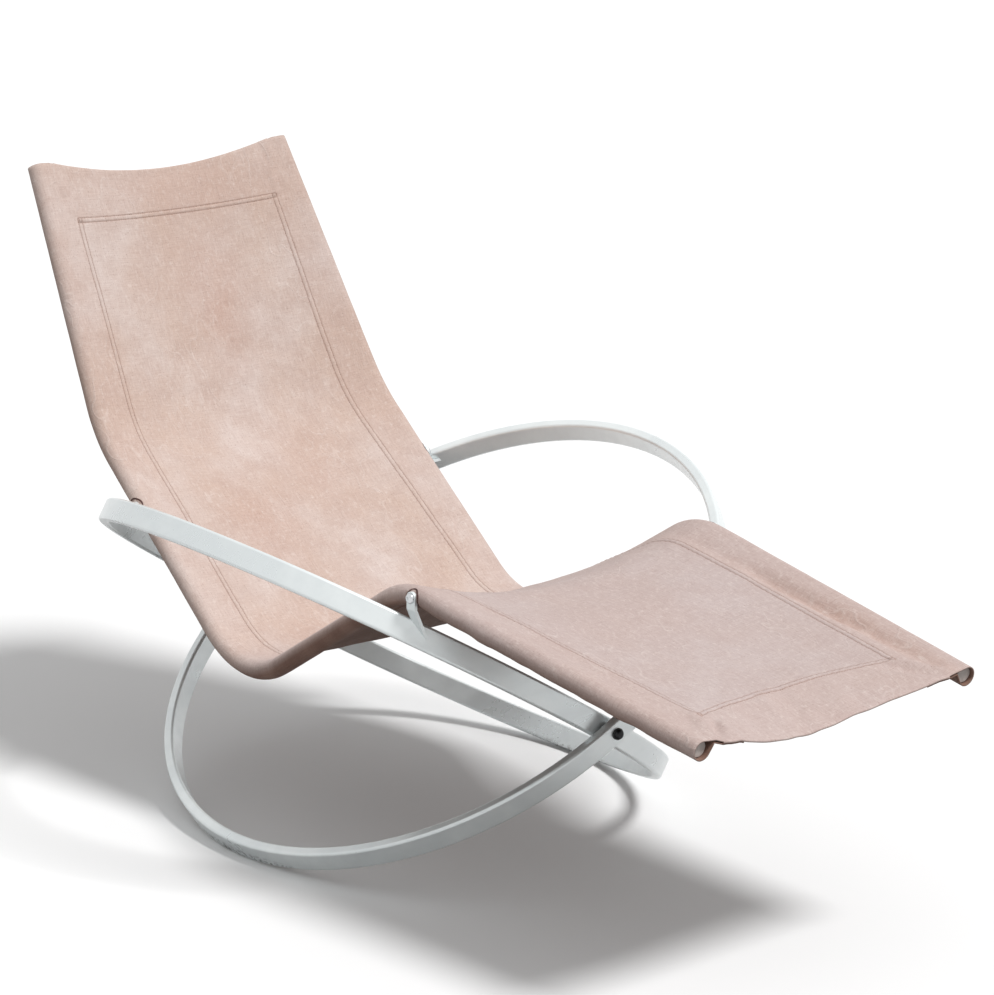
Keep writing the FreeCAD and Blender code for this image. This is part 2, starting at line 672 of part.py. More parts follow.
def section_wires(frame):
    """Outline of the canvas and of its right and left pockets at one section."""
    middle, normal, span, sag = frame
    inner = rail_radius + size("pocket_play")
    cloth = size("fabric_thickness")
    outer = inner + cloth
    low = outer - sag
    big = (span**2 + low**2 - outer**2) / (2 * sag)
    centre = low + big

    def world(u, n):
        return middle + Vector(u, 0, 0) + normal * n

    def on_rail(side, radius, angle):
        return world(side * (span + radius * math.cos(angle)), radius * math.sin(angle))

    # Angle at which the loop leaves for the canvas above, and the tip of the pocket below it
    top = math.atan2(centre, -span)
    tip_u = span - size("pocket_depth")
    tip_n = centre - math.sqrt((big + cloth) ** 2 - tip_u**2)
    reach = math.hypot(tip_u - span, tip_n)
    under = math.atan2(tip_n, tip_u - span) % (2 * math.pi) + math.acos(inner / reach)
    along = Vector(math.sin(under), -math.cos(under), 0)
    start = Vector(span + outer * math.cos(under), outer * math.sin(under), 0)
    # The lower flap's outside meets the canvas from below
    low_reach, high_reach = 0.0, 2 * size("pocket_depth")
    if along.x > 0:
        along = along * -1
    for _ in range(60):
        trial = (low_reach + high_reach) / 2
        point = start + along * trial
        if math.hypot(point.x, point.y - centre) > big + cloth:
            low_reach = trial
        else:
            high_reach = trial
    meet = start + along * low_reach

    def arc(first, through, last):
        return Part.Arc(first, through, last).toShape()

    def line(first, last):
        return Part.LineSegment(first, last).toShape()

    lower = under - 2 * math.pi
    edges = []
    tops = [on_rail(side, outer, top) for side in (RIGHT, LEFT)]
    edges.append(arc(tops[0], world(0, low), tops[1]))
    for side, reverse in ((LEFT, False), (RIGHT, True)):
        chain = [
            (on_rail(side, outer, top), on_rail(side, outer, top / 2), on_rail(side, outer, 0)),
            (on_rail(side, outer, 0), on_rail(side, outer, lower / 2), on_rail(side, outer, lower)),
        ]
        seam = (on_rail(side, outer, lower), world(side * meet.x, meet.y))
        if reverse:
            edges.append(line(seam[1], seam[0]))
            edges.extend(arc(last, through, first) for first, through, last in reversed(chain))
        else:
            edges.extend(arc(*points) for points in chain)
            edges.append(line(*seam))
            seams = [world(side * meet.x, meet.y), world(-side * meet.x, meet.y)]
            edges.append(arc(seams[0], world(0, low - cloth), seams[1]))
    outline = Part.Wire(edges)

    pockets = []
    half = (math.asin(tip_u / (big + cloth)) + math.asin(span / (big + outer))) / 2
    for side in (RIGHT, LEFT):
        tip = world(side * tip_u, tip_n)
        roof = world(side * (big + cloth) * math.sin(half), centre - (big + cloth) * math.cos(half))
        pockets.append(
            Part.Wire(
                [
                    arc(tip, roof, on_rail(side, inner, top)),
                    arc(on_rail(side, inner, top), on_rail(side, inner, top / 2), on_rail(side, inner, 0)),
                    arc(on_rail(side, inner, 0), on_rail(side, inner, lower / 2), on_rail(side, inner, lower)),
                    line(on_rail(side, inner, lower), tip),
                ]
            )
        )
    return outline, pockets


def sling():
    """Canvas with its two open hem pockets, hollowed ends and a round notch in the hem at each lug."""
    sections = frames()
    wires = [section_wires(frame) for frame in sections]
    outlines = [outline for outline, pockets in wires]
    faces = list(Part.makeLoft(outlines, False, True).Faces)
    for index in (0, 1):
        faces += Part.makeLoft([pockets[index] for outline, pockets in wires], False, True).Faces
    for outline, pockets in (wires[0], wires[-1]):
        end = Part.makeFace([outline] + pockets, "Part::FaceMakerBullseye")
        faces += end.Faces
    shell = Part.Shell(faces)
    shell.sewShape()
    solid = Part.Solid(shell)
    if solid.Volume < 0:
        solid.reverse()
    print("canvas: %d sections, valid %s, volume %.0f" % (len(sections), solid.isValid(), solid.Volume))

    cutters = []
    for side in (RIGHT, LEFT):
        for end in (FRONT, REAR):
            start = rail_at(side, lug_station(end)) + Vector(side * size("notch_inset"), 0, 0)
            radius = size(END_WORD[end] + "_notch_diameter") / 2
            cutters.append(Part.makeCylinder(radius, 2 * rail_radius, start, Vector(side, 0, 0)))
    for frame, beyond, hollow in (
        (sections[0], sections[0][0] - sections[1][0], size("head_hollow")),
        (sections[-1], sections[-1][0] - sections[-2][0], size("foot_hollow")),
    ):
        middle, normal, span, sag = frame
        half = span - 1.5 * rail_radius
        radius = (half**2 + hollow**2) / (2 * hollow)
        axis = middle + beyond.normalize() * (radius - hollow) - normal * 100
        cutters.append(Part.makeCylinder(radius, 200, axis, normal))
    return solid.cut(cutters)


canvas = doc.addObject("Part::Feature", "Sling")
canvas.Shape = sling()
piece(canvas, "sling")
doc.recompute()

# Every object has to stand, and every piece has to be a sound solid
for obj in doc.Objects:
    if "Invalid" in obj.State or "Error" in obj.State:
        raise RuntimeError("%s failed: %s" % (obj.Name, obj.State))
for obj in exported:
    if obj.Shape.isNull() or not obj.Shape.isValid() or not obj.Shape.Solids:
        raise RuntimeError("%s is not a sound solid" % obj.Label)

for obj in exported:
    obj.Shape.exportStep("parts/%s.step" % obj.Label)
print("%d pieces" % len(exported))
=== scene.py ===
"""Looks of the rocking chaise lounge: satin silver hoops, bolted side rails and a faded canvas sling.

Metres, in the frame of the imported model: +Z up, +Y towards the head end, +X towards the sitter's left. The
canvas is one strip that starts as a flap under the right rail, wraps that rail, crosses to the left rail,
wraps it and ends as a flap again. It is made here as a grid, with rows across the chaise and columns along
the rails. Places on it are given as lengths along the rails from their head ends and distances across from
the middle, to the left positive.
"""

import json
import math

import bpy
import numpy as np
from mathutils import Matrix, Vector, noise


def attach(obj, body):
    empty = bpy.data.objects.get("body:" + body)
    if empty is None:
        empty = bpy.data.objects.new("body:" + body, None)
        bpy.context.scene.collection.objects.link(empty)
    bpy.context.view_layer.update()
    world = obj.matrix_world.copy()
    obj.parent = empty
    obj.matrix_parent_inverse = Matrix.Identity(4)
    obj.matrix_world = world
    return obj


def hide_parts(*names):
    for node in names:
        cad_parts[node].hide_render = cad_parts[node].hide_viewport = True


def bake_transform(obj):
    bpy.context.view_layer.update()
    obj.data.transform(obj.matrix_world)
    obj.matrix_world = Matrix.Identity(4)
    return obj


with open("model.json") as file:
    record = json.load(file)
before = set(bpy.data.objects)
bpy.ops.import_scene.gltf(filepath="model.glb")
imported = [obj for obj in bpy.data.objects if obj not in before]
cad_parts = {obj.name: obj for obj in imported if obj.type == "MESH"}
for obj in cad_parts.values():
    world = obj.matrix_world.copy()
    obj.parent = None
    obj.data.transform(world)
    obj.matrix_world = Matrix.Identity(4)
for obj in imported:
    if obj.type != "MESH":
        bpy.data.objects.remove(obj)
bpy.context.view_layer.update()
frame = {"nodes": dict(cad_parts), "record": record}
NODES = frame["nodes"]
scene = bpy.context.scene

MM = 0.001

# Camera at the photograph's viewing angle, in radians, and the photograph's width in pixels
AZIMUTH = -0.6812
ELEVATION = 0.26
CAMERA_AT = Vector((-2.685, -3.390, 1.617))
FOCAL_PIXELS = 3302.5
FRAME_WIDTH = 994
SENSOR_WIDTH = 36.0

# Light and floor
SKY_STRENGTH = 0.50
KEY_STRENGTH = 2.35
KEY_SPREAD = math.radians(15)
KEY_DIRECTION = Vector((-0.25, 0.55, -1.0))
FLOOR_SIZE = 60
FLOOR_AS_SEEN = (0.95, 0.95, 0.95, 1)
FLOOR_FOR_LIGHT = (0.30, 0.30, 0.30, 1)

# Side rails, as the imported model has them: half span, reach from the hoop centre, height
HOOP_CENTRE = 0.111
RAIL_RADIUS = 0.011
RAIL_CORNERS = [
    (0.213, 0.604, 0.842),
    (0.243, 0.402, 0.492),
    (0.247, 0.049, 0.208),
    (0.247, -0.313, 0.431),
    (0.222, -0.831, 0.352),
]
RAIL_BENDS = [0.250, 0.140, 0.120]
BEND_STEPS = 48
STATION_STEP = 0.002
ROUTE_OVERRUN = 0.03
FRONT_LUG_REACH = -0.338
REAR_LUG_REACH = 0.300

# Canvas
CLOTH = 0.0016
POCKET_PLAY = 0.0006
LOOP_RADIUS = RAIL_RADIUS + POCKET_PLAY + CLOTH / 2
OVERRUN = 0.009
HEAD_SAG, BACK_SAG, SEAT_SAG, KNEE_SAG, FOOT_SAG = 0.022, 0.036, 0.006, 0.045, 0.018
HEAD_HOLLOW = 0.022
FOOT_HOLLOW = 0.004
HEAD_SEAM = 0.082
FOOT_SEAM = 0.058
FOOT_SEAM_BOW = 0.034
SEAM_ZONE = 0.009
STITCH_OFFSET = 0.0035
HEM_ALLOWANCE = 0.008
LAYER_GAP = 0.0002
POCKET_MOUTH = 0.018
NOTCH_HALF_WIDTH = 0.0108
NOTCH_RISE = 0.0104
NOTCH_INSET = 0.004
CUTTER_DEPTH = 0.03
CUTTER_DROP = 0.05
BINDING_RADIUS = 0.0013
BINDING_SIDES = 10
GRID_STEP = 0.0055
THREAD_PITCH = 0.95 * MM
LUG_REST = 0.035
LEG_START, LEG_FADE = -0.05, 0.12

# Pocket of the hem: its lower layer laps the seam, and rises to the upper layer at the open ends
POCKET_DEPTHS = [0.045, 0.056, 0.048, 0.056, 0.060]
LAP = 5 * MM
LAP_TIP = 4 * MM
CLOSED_LENGTH = 0.012
CLOSING_LENGTH = 0.085
LAYER_MARGIN = 0.016
LAYER_EASE = 0.006

# Seams: needle lines dip and the cloth between them swells; puckers run beside them
NEEDLE_DEPTH, NEEDLE_WIDTH = 0.60 * MM, 0.9 * MM
SWELL_HEIGHT, SWELL_WIDTH = 0.60 * MM, 2.4 * MM
NEEDLE_SHADE_WIDTH = 1.1 * MM
SEAM_MARGIN = 4 * MM
BAND_EASE = 0.006
PUCKER_PITCH, PUCKER_HEIGHT, PUCKER_REACH, PUCKER_STRAY = 0.0125, 0.42 * MM, 0.011, 2.2

# Slack of the cloth, and how near to a rail it may lift off its taut form
BILLOW_HEIGHT, BILLOW_SIZE = 1.3 * MM, 0.16
RUMPLE_HEIGHT, RUMPLE_SIZE = 0.32 * MM, 0.030
RAIL_CLEARANCE, RAIL_EASE = 0.0125, 0.009
BOW_MIDDLE, BOW_HALF_WIDTH, BOW_POWER = 0.008, 0.178, 2.4

# Stitches and the bar tacks at the corners of the seams
STITCH_PITCH, STITCH_LENGTH, STITCH_RADIUS = 4.0 * MM, 3.5 * MM, 0.38 * MM
TACK_PITCH, TACK_LENGTH = 1.3 * MM, 1.2 * MM
STITCH_SIDES = 6
STITCH_FLATNESS = 0.8
# Rings of a stitch: share of its length, then height and width in radii
STITCH_PROFILE = [(0.0, -0.9, 0.45), (0.14, -0.15, 0.85), (0.5, 0.25, 1.0)]
STITCH_PROFILE += [(0.86, -0.15, 0.85), (1.0, -0.9, 0.45)]


# Camera
def make_camera():
    """Camera from its angles, its place and the photograph's focal length."""
    sin_a, cos_a = math.sin(AZIMUTH), math.cos(AZIMUTH)
    sin_e, cos_e = math.sin(ELEVATION), math.cos(ELEVATION)
    back = Vector((sin_a * cos_e, -cos_a * cos_e, sin_e))
    right = Vector((cos_a, sin_a, 0))
    up = back.cross(right)
    data = bpy.data.cameras.new("Camera")
    data.sensor_fit = "HORIZONTAL"
    data.sensor_width = SENSOR_WIDTH
    data.lens = FOCAL_PIXELS * SENSOR_WIDTH / FRAME_WIDTH
    camera = bpy.data.objects.new("Camera", data)
    rows = [(right[i], up[i], back[i], CAMERA_AT[i]) for i in range(3)]
    camera.matrix_world = Matrix(rows + [(0, 0, 0, 1)])
    scene.collection.objects.link(camera)
    scene.camera = camera


# Shader helpers
class Shader:
    """One node material, built by short calls."""

    def __init__(self, name):
        self.material = bpy.data.materials.new(name)
        self.material.use_nodes = True
        self.tree = self.material.node_tree
        self.surface = self.tree.nodes["Principled BSDF"]

    def node(self, kind, inputs=None, **settings):
        made = self.tree.nodes.new(kind)
        for key, value in settings.items():
            setattr(made, key, value)
        for key, value in (inputs or {}).items():
            self.feed(made.inputs[key], value)
        return made

    def feed(self, socket, value):
        if isinstance(value, bpy.types.NodeSocket):
            self.tree.links.new(value, socket)
        else:
            socket.default_value = value

    def set(self, **values):
        for key, value in values.items():
            self.feed(self.surface.inputs[key.replace("_", " ")], value)

    def place(self, stretch=(1, 1, 1)):
        """Object coordinates, stretched."""
        where = self.node("ShaderNodeTexCoord").outputs["Object"]
        return self.node("ShaderNodeMapping", {"Vector": where, "Scale": stretch}).outputs["Vector"]

    def flat_place(self, stretch=(1, 1, 1), turn=0.0):
        """Canvas coordinates in metres: across and along."""
        where = self.node("ShaderNodeUVMap", uv_map="canvas").outputs["UV"]
        inputs = {"Vector": where, "Scale": stretch, "Rotation": (0, 0, turn)}
        return self.node("ShaderNodeMapping", inputs).outputs["Vector"]

    def noise(self, where, scale, detail=4.0, roughness=0.55):
        inputs = {"Vector": where, "Scale": scale, "Detail": detail, "Roughness": roughness}
        return self.node("ShaderNodeTexNoise", inputs).outputs["Fac"]

    def ramp(self, value, low, high, out_low=0.0, out_high=1.0):
        inputs = {"Value": value, "From Min": low, "From Max": high}
        inputs.update({"To Min": out_low, "To Max": out_high})
        return self.node("ShaderNodeMapRange", inputs, interpolation_type="SMOOTHSTEP").outputs["Result"]

    def maths(self, operation, first, second=0.0):
        return self.node("ShaderNodeMath", {0: first, 1: second}, operation=operation).outputs[0]

    def mix(self, share, first, second, blend="MIX"):
        mixer = self.node("ShaderNodeMix", data_type="RGBA", blend_type=blend)
        self.feed(mixer.inputs[0], share)
        self.feed(mixer.inputs[6], first)
        self.feed(mixer.inputs[7], second)
        return mixer.outputs[2]

    def tint(self, base, mask, share, colour, blend="MIX"):
        """Colour laid over a base to a share of a mask."""
        return self.mix(self.maths("MULTIPLY", mask, share), base, colour, blend)

    def attribute(self, name):
        return self.node("ShaderNodeAttribute", attribute_name=name).outputs["Fac"]

    def bump(self, height, strength, distance, before=None):
        inputs = {"Height": height, "Strength": strength, "Distance": distance}
        if before is not None:
            inputs["Normal"] = before
        return self.node("ShaderNodeBump", inputs).outputs["Normal"]


def srgb(red, green, blue):
    """Linear colour of an 8-bit display colour."""
    linear = []
    for value in (red, green, blue):
        value /= 255
        linear.append(value / 12.92 if value <= 0.04045 else ((value + 0.055) / 1.055) ** 2.4)
    return (*linear, 1.0)


# Materials
def canvas_material():
    """Sun-bleached cotton canvas: weave, slubs, flecks, mottling and pale wash creases, with painted shade
    darkening the seam lines and the underside, which is also unfaded.
    """
    shader = Shader("canvas_faded")
    flat = shader.flat_place()
    sun = shader.attribute("sun")
    band = shader.attribute("band")
    seam = shader.attribute("seam")

    warm = shader.attribute("warm")
    patches = shader.ramp(shader.noise(shader.flat_place((1, 0.8, 1)), 5.0, 4.0), 0.36, 0.64)
    blotches = shader.ramp(shader.noise(flat, 19.0, 5.0), 0.40, 0.66)
    flecks = shader.ramp(shader.noise(shader.flat_place((1.0, 0.55, 1), 0.6), 190.0, 6.0, 0.8), 0.48, 0.72)
    specks = shader.ramp(shader.noise(flat, 420.0, 2.0, 0.6), 0.60, 0.70)
    warp = shader.noise(shader.flat_place((900, 40, 1)), 1.0, 2.0)
    weft = shader.noise(shader.flat_place((40, 900, 1)), 1.0, 2.0)
    slubs = shader.ramp(shader.maths("ADD", warp, weft), 0.82, 1.22)
    creases = 0.0
    families = ((26.0, 0.016, 13.0, 0.0), (12.0, 0.010, 7.0, 0.7), (17.0, 0.012, 9.0, -0.5))
    for scale, width, cover, turn in families:
        where = shader.flat_place((1, 0.5, 1), turn)
        vein = shader.maths("ABSOLUTE", shader.maths("SUBTRACT", shader.noise(where, scale, 2.0, 0.5), 0.5))
        vein = shader.ramp(vein, 0.0, width, 1.0, 0.0)
        vein = shader.maths("MULTIPLY", vein, shader.ramp(shader.noise(where, cover, 2.0), 0.48, 0.64))
        creases = shader.maths("MAXIMUM", creases, vein)

    bleached = shader.mix(patches, srgb(209, 185, 172), srgb(219, 203, 196))
    bleached = shader.tint(bleached, blotches, 0.50, srgb(202, 178, 167))
    leg = shader.ramp(shader.attribute("leg"), 0.0, 1.0)
    bleached = shader.tint(bleached, leg, 0.62, srgb(193, 177, 176))
    # Pinker tone; beside the left rail on the leg it is painted shade.
    bleached = shader.tint(bleached, warm, 0.66, srgb(202, 170, 156))
    bleached = shader.tint(bleached, band, 0.22, srgb(206, 178, 166))
    bleached = shader.tint(bleached, flecks, 0.55, srgb(234, 221, 214))
    bleached = shader.tint(bleached, creases, 0.20, srgb(240, 229, 223))
    bleached = shader.tint(bleached, specks, 0.55, srgb(166, 137, 125))
    # Underside colour: unfaded canvas, darkened further as painted shade.
    unfaded_shaded_underside = shader.mix(blotches, srgb(134, 104, 91), srgb(149, 119, 106))
    colour = shader.mix(sun, unfaded_shaded_underside, bleached)
    colour = shader.tint(colour, slubs, 0.20, srgb(178, 152, 142), "MULTIPLY")
    # Painted shade of the needle grooves along the seams.
    colour = shader.tint(colour, seam, 0.50, srgb(148, 116, 104))

    turns = 2 * math.pi / THREAD_PITCH
    split = shader.node("ShaderNodeSeparateXYZ", {0: flat})
    across = shader.maths("SINE", shader.maths("MULTIPLY", split.outputs[0], turns))
    along = shader.maths("SINE", shader.maths("MULTIPLY", split.outputs[1], turns))
    weave = shader.maths("MULTIPLY", across, along)
    normal = shader.bump(weave, 0.35, 0.0002)
    normal = shader.bump(slubs, 0.25, 0.0003, normal)
    normal = shader.bump(creases, 0.45, 0.0007, normal)
    normal = shader.bump(shader.noise(flat, 55.0, 5.0, 0.62), 0.55, 0.0020, normal)
    roughness = shader.ramp(flecks, 0.0, 1.0, 0.86, 0.95)
    shader.set(Base_Color=colour, Roughness=roughness, Normal=normal)
    shader.set(Sheen_Weight=0.12, Sheen_Roughness=0.45, Specular_IOR_Level=0.25)
    return shader.material


def thread_material(name, light, dark):
    """Twisted sewing thread or binding."""
    shader = Shader(name)
    where = shader.place()
    shade = shader.ramp(shader.noise(where, 260.0, 3.0), 0.35, 0.65)
    twist = shader.noise(shader.place((1400, 1400, 1400)), 1.0, 2.0)
    shader.set(Base_Color=shader.mix(shade, dark, light), Roughness=0.85)
    shader.set(Normal=shader.bump(twist, 0.4, 0.0002), Specular_IOR_Level=0.3, Sheen_Weight=0.1)
    return shader.material


def paint_material():
    """Satin silver paint: faint orange peel, rubbed streaks, and scuffs where the hoops meet the floor."""
    shader = Shader("satin_silver")
    where = shader.place()
    cloud = shader.noise(where, 9.0, 5.0)
    fine = shader.noise(where, 300.0, 1.0)
    rubbed = shader.ramp(shader.noise(shader.place((2, 14, 14)), 5.0, 2.0, 0.5), 0.42, 0.70)
    split = shader.node("ShaderNodeSeparateXYZ", {0: where})
    low = shader.ramp(split.outputs[2], 0.004, 0.016, 1.0, 0.0)
    chips = shader.ramp(shader.noise(where, 130.0, 4.0, 0.7), 0.46, 0.60)
    scuff = shader.maths("MULTIPLY", low, chips)
    base = shader.mix(shader.ramp(cloud, 0.35, 0.65), srgb(228, 234, 235), srgb(238, 243, 243))
    base = shader.tint(base, rubbed, 0.10, srgb(206, 211, 213))
    base = shader.tint(base, scuff, 0.8, srgb(112, 110, 106))
    rough = shader.ramp(cloud, 0.3, 0.7, 0.26, 0.36)
    rough = shader.maths("ADD", rough, shader.maths("MULTIPLY", scuff, 0.3))
    rough = shader.maths("ADD", rough, shader.maths("MULTIPLY", rubbed, 0.06))
    normal = shader.bump(fine, 0.03, 0.0002)
    shader.set(Base_Color=base, Metallic=0.45, Roughness=rough, Normal=normal)
    shader.set(Coat_Weight=0.20, Coat_Roughness=0.25)
    return shader.material


def zinc_material():
    """Bright zinc plating with a fine turned grain and pale oxide in patches."""
    shader = Shader("zinc_plate")
    where = shader.place()
    grain = shader.noise(shader.place((60, 900, 900)), 1.0, 3.0)
    oxide = shader.ramp(shader.noise(where, 190.0, 5.0, 0.65), 0.48, 0.66)
    base = shader.mix(shader.maths("MULTIPLY", oxide, 0.6), srgb(204, 206, 208), srgb(168, 170, 170))
    rough = shader.ramp(oxide, 0.0, 1.0, 0.24, 0.55)
    normal = shader.bump(grain, 0.15, 0.0002)
    shader.set(Base_Color=base, Metallic=1.0, Roughness=rough, Normal=normal)
    return shader.material


def mottled_material(name, metallic, light, dark, roughness, mask, grain):
    """Steel or plastic with paler, rougher patches: mask is its noise and ramp, grain its bump noise."""
    shader = Shader(name)
    where = shader.place()
    scale, rough, low, high = mask
    patches = shader.ramp(shader.noise(where, scale, 5.0, rough), low, high)
    shader.set(Base_Color=shader.mix(patches, dark, light), Metallic=metallic)
    shader.set(Roughness=shader.ramp(patches, 0.0, 1.0, *roughness))
    shader.set(Normal=shader.bump(shader.noise(where, *grain), 0.2, 0.0002))
    return shader.material


# Light, floor and background
def make_stage():
    """Pale floor, an even white sky that lights dimly and one soft sun from above the foot end."""
    world = bpy.data.worlds.new("World")
    scene.world = world
    world.use_nodes = True
    tree = world.node_tree
    background = tree.nodes["Background"]
    background.inputs[0].default_value = (1, 1, 1, 1)
    ray = tree.nodes.new("ShaderNodeLightPath")
    direct = tree.nodes.new("ShaderNodeMath")
    direct.operation = "MAXIMUM"
    tree.links.new(ray.outputs["Is Camera Ray"], direct.inputs[0])
    tree.links.new(ray.outputs["Is Glossy Ray"], direct.inputs[1])
    strength = tree.nodes.new("ShaderNodeMapRange")
    strength.inputs["To Min"].default_value = SKY_STRENGTH
    tree.links.new(direct.outputs[0], strength.inputs["Value"])
    tree.links.new(strength.outputs["Result"], background.inputs[1])

    bpy.ops.mesh.primitive_plane_add(size=FLOOR_SIZE)
    floor = bpy.context.object
    floor.name = "floor"
    shader = Shader("pale_floor")
    path = shader.node("ShaderNodeLightPath")
    seen = shader.maths("MAXIMUM", path.outputs["Is Camera Ray"], path.outputs["Is Glossy Ray"])
    seen = shader.maths("MAXIMUM", seen, path.outputs["Is Transmission Ray"])
    shader.set(Base_Color=shader.mix(seen, FLOOR_FOR_LIGHT, FLOOR_AS_SEEN), Roughness=0.9)
    shader.set(Specular_IOR_Level=0.0)
    floor.data.materials.append(shader.material)

    sun = bpy.data.lights.new("key", "SUN")
    sun.energy = KEY_STRENGTH
    sun.angle = KEY_SPREAD
    lamp = bpy.data.objects.new("key", sun)
    lamp.rotation_euler = KEY_DIRECTION.to_track_quat("-Z", "Y").to_euler()
    scene.collection.objects.link(lamp)


# Rail route
def rail_route():
    """Even points along the left rail with a short overrun, their lengths, and the middles of its bends."""
    corners = [Vector((span, HOOP_CENTRE + reach, height)) for span, reach, height in RAIL_CORNERS]
    spare = ROUTE_OVERRUN
    points = [corners[0] + (corners[0] - corners[1]).normalized() * spare, corners[0]]
    marks = []
    for before, corner, after, radius in zip(corners, corners[1:], corners[2:], RAIL_BENDS):
        incoming = (before - corner).normalized()
        outgoing = (after - corner).normalized()
        half = incoming.angle(outgoing) / 2
        centre = corner + (incoming + outgoing).normalized() * (radius / math.sin(half))
        first = corner + incoming * (radius / math.tan(half)) - centre
        last = corner + outgoing * (radius / math.tan(half)) - centre
        turn = math.pi - 2 * half
        marks.append(len(points) + BEND_STEPS // 2)
        for step in range(BEND_STEPS + 1):
            share = step / BEND_STEPS
            arm = first * math.sin((1 - share) * turn) + last * math.sin(share * turn)
            points.append(centre + arm / math.sin(turn))
    points += [corners[-1], corners[-1] + (corners[-1] - corners[-2]).normalized() * spare]
    places = np.array(points)
    steps = np.linalg.norm(np.diff(places, axis=0), axis=1)
    lengths = np.concatenate([[0], np.cumsum(steps)]) - spare
    total = lengths[-1] - spare
    even = np.arange(-spare, total + spare, STATION_STEP)
    places = np.stack([np.interp(even, lengths, places[:, axis]) for axis in range(3)], axis=1)
    directions = np.gradient(places, even, axis=0)
    directions /= np.linalg.norm(directions, axis=1)[:, None]
    return even, places, directions, total, [lengths[mark] for mark in marks]


STATIONS, RAIL_POINTS, RAIL_DIRECTIONS, RAIL_LENGTH, BEND_MIDDLES = rail_route()


def smooth_table(knots, at):
    """Value at each length, easing from knot to knot."""
    at = np.asarray(at, float)
    places = [place for place, value in knots]
    values = [value for place, value in knots]
    index = np.clip(np.searchsorted(places, at) - 1, 0, len(knots) - 2)
    low, high = np.take(places, index), np.take(places, index + 1)
    share = np.clip((at - low) / (high - low), 0, 1)
    share = share * share * (3 - 2 * share)
    return np.take(values, index) * (1 - share) + np.take(values, index + 1) * share


def lug_length(reach):
    """Length along the rail at which a lug holds it."""
    return np.interp(-(HOOP_CENTRE + reach), -RAIL_POINTS[:, 1], STATIONS)


def away_from_lugs(along):
    """0 at the lugs, 1 away from them."""
    near = np.zeros_like(along)
    for reach in (FRONT_LUG_REACH, REAR_LUG_REACH):
        near = np.maximum(near, np.exp(-(((along - lug_length(reach)) / LUG_REST) ** 4)))
    return 1 - near


def sag_at(along):
    """Drop of the canvas between the rails."""
    shoulder, valley, knee = BEND_MIDDLES
    end = RAIL_LENGTH + OVERRUN
    knots = [
        (-OVERRUN, HEAD_SAG),
        ((shoulder - OVERRUN) / 2, (HEAD_SAG + BACK_SAG) / 2),
        (shoulder, BACK_SAG),
        ((shoulder + valley) / 2, (BACK_SAG + SEAT_SAG) / 2),
        (valley, SEAT_SAG),
        (valley + (knee - valley) * 0.45, SEAT_SAG + (KNEE_SAG - SEAT_SAG) * 0.1),
        (knee, KNEE_SAG),
        (knee + (RAIL_LENGTH - knee) * 0.35, KNEE_SAG * 0.5 + FOOT_SAG * 0.5),
        (end, FOOT_SAG),
    ]
    return smooth_table(knots, along)


def pocket_at(along):
    """Distance from the rail in to the seam that closes its pocket."""
    shoulder, valley, knee = BEND_MIDDLES
    return smooth_table(list(zip((0, shoulder, valley, knee, RAIL_LENGTH), POCKET_DEPTHS)), along)


def closing_at(along):
    """How far the pocket's lower layer has risen to the upper one: 1 at the open ends, 0 well inside."""
    inside = np.minimum(along + OVERRUN, RAIL_LENGTH + OVERRUN - along)
    share = np.clip(1 - (inside - CLOSED_LENGTH) / CLOSING_LENGTH, 0, 1)
    return share * share * (3 - 2 * share)


def section(along):
    """Half span, sag circle and pocket of the canvas at each length."""
    span = np.interp(along, STATIONS, RAIL_POINTS[:, 0])
    outer = LOOP_RADIUS + CLOTH / 2
    sag = sag_at(along)
    low = outer - sag
    big = (span**2 + low**2 - outer**2) / (2 * sag)
    return span, low + big, big, pocket_at(along)


# Columns of the grid, from the middle outwards: kind and share or offset
FINE = [0.0, 1.0, 2.0, 2.8, 3.5, 4.2, 5.0, 6.0, 7.5, 9.0]
ZONE = np.array([-value for value in FINE[:0:-1]] + FINE) * MM
HALF_COLUMNS = (
    [("field", share) for share in np.linspace(0, 1, 32)[:-1]]
    + [("seam", offset) for offset in ZONE]
    + [("band", share) for share in np.linspace(0, 1, 9)[1:]]
    + [("loop", share) for share in np.linspace(0, 1, 21)[1:]]
    + [("flap", share) for share in np.linspace(0, 1, 9)[1:]]
    + [("lap", share) for share in np.linspace(0, 1, 6)[1:]]
    + [("allowance", offset) for offset in (4.2, 3.5, 2.8, 1.5, 0, -1.5, -2.8, -3.5, -4.2, -6, -8)]
)


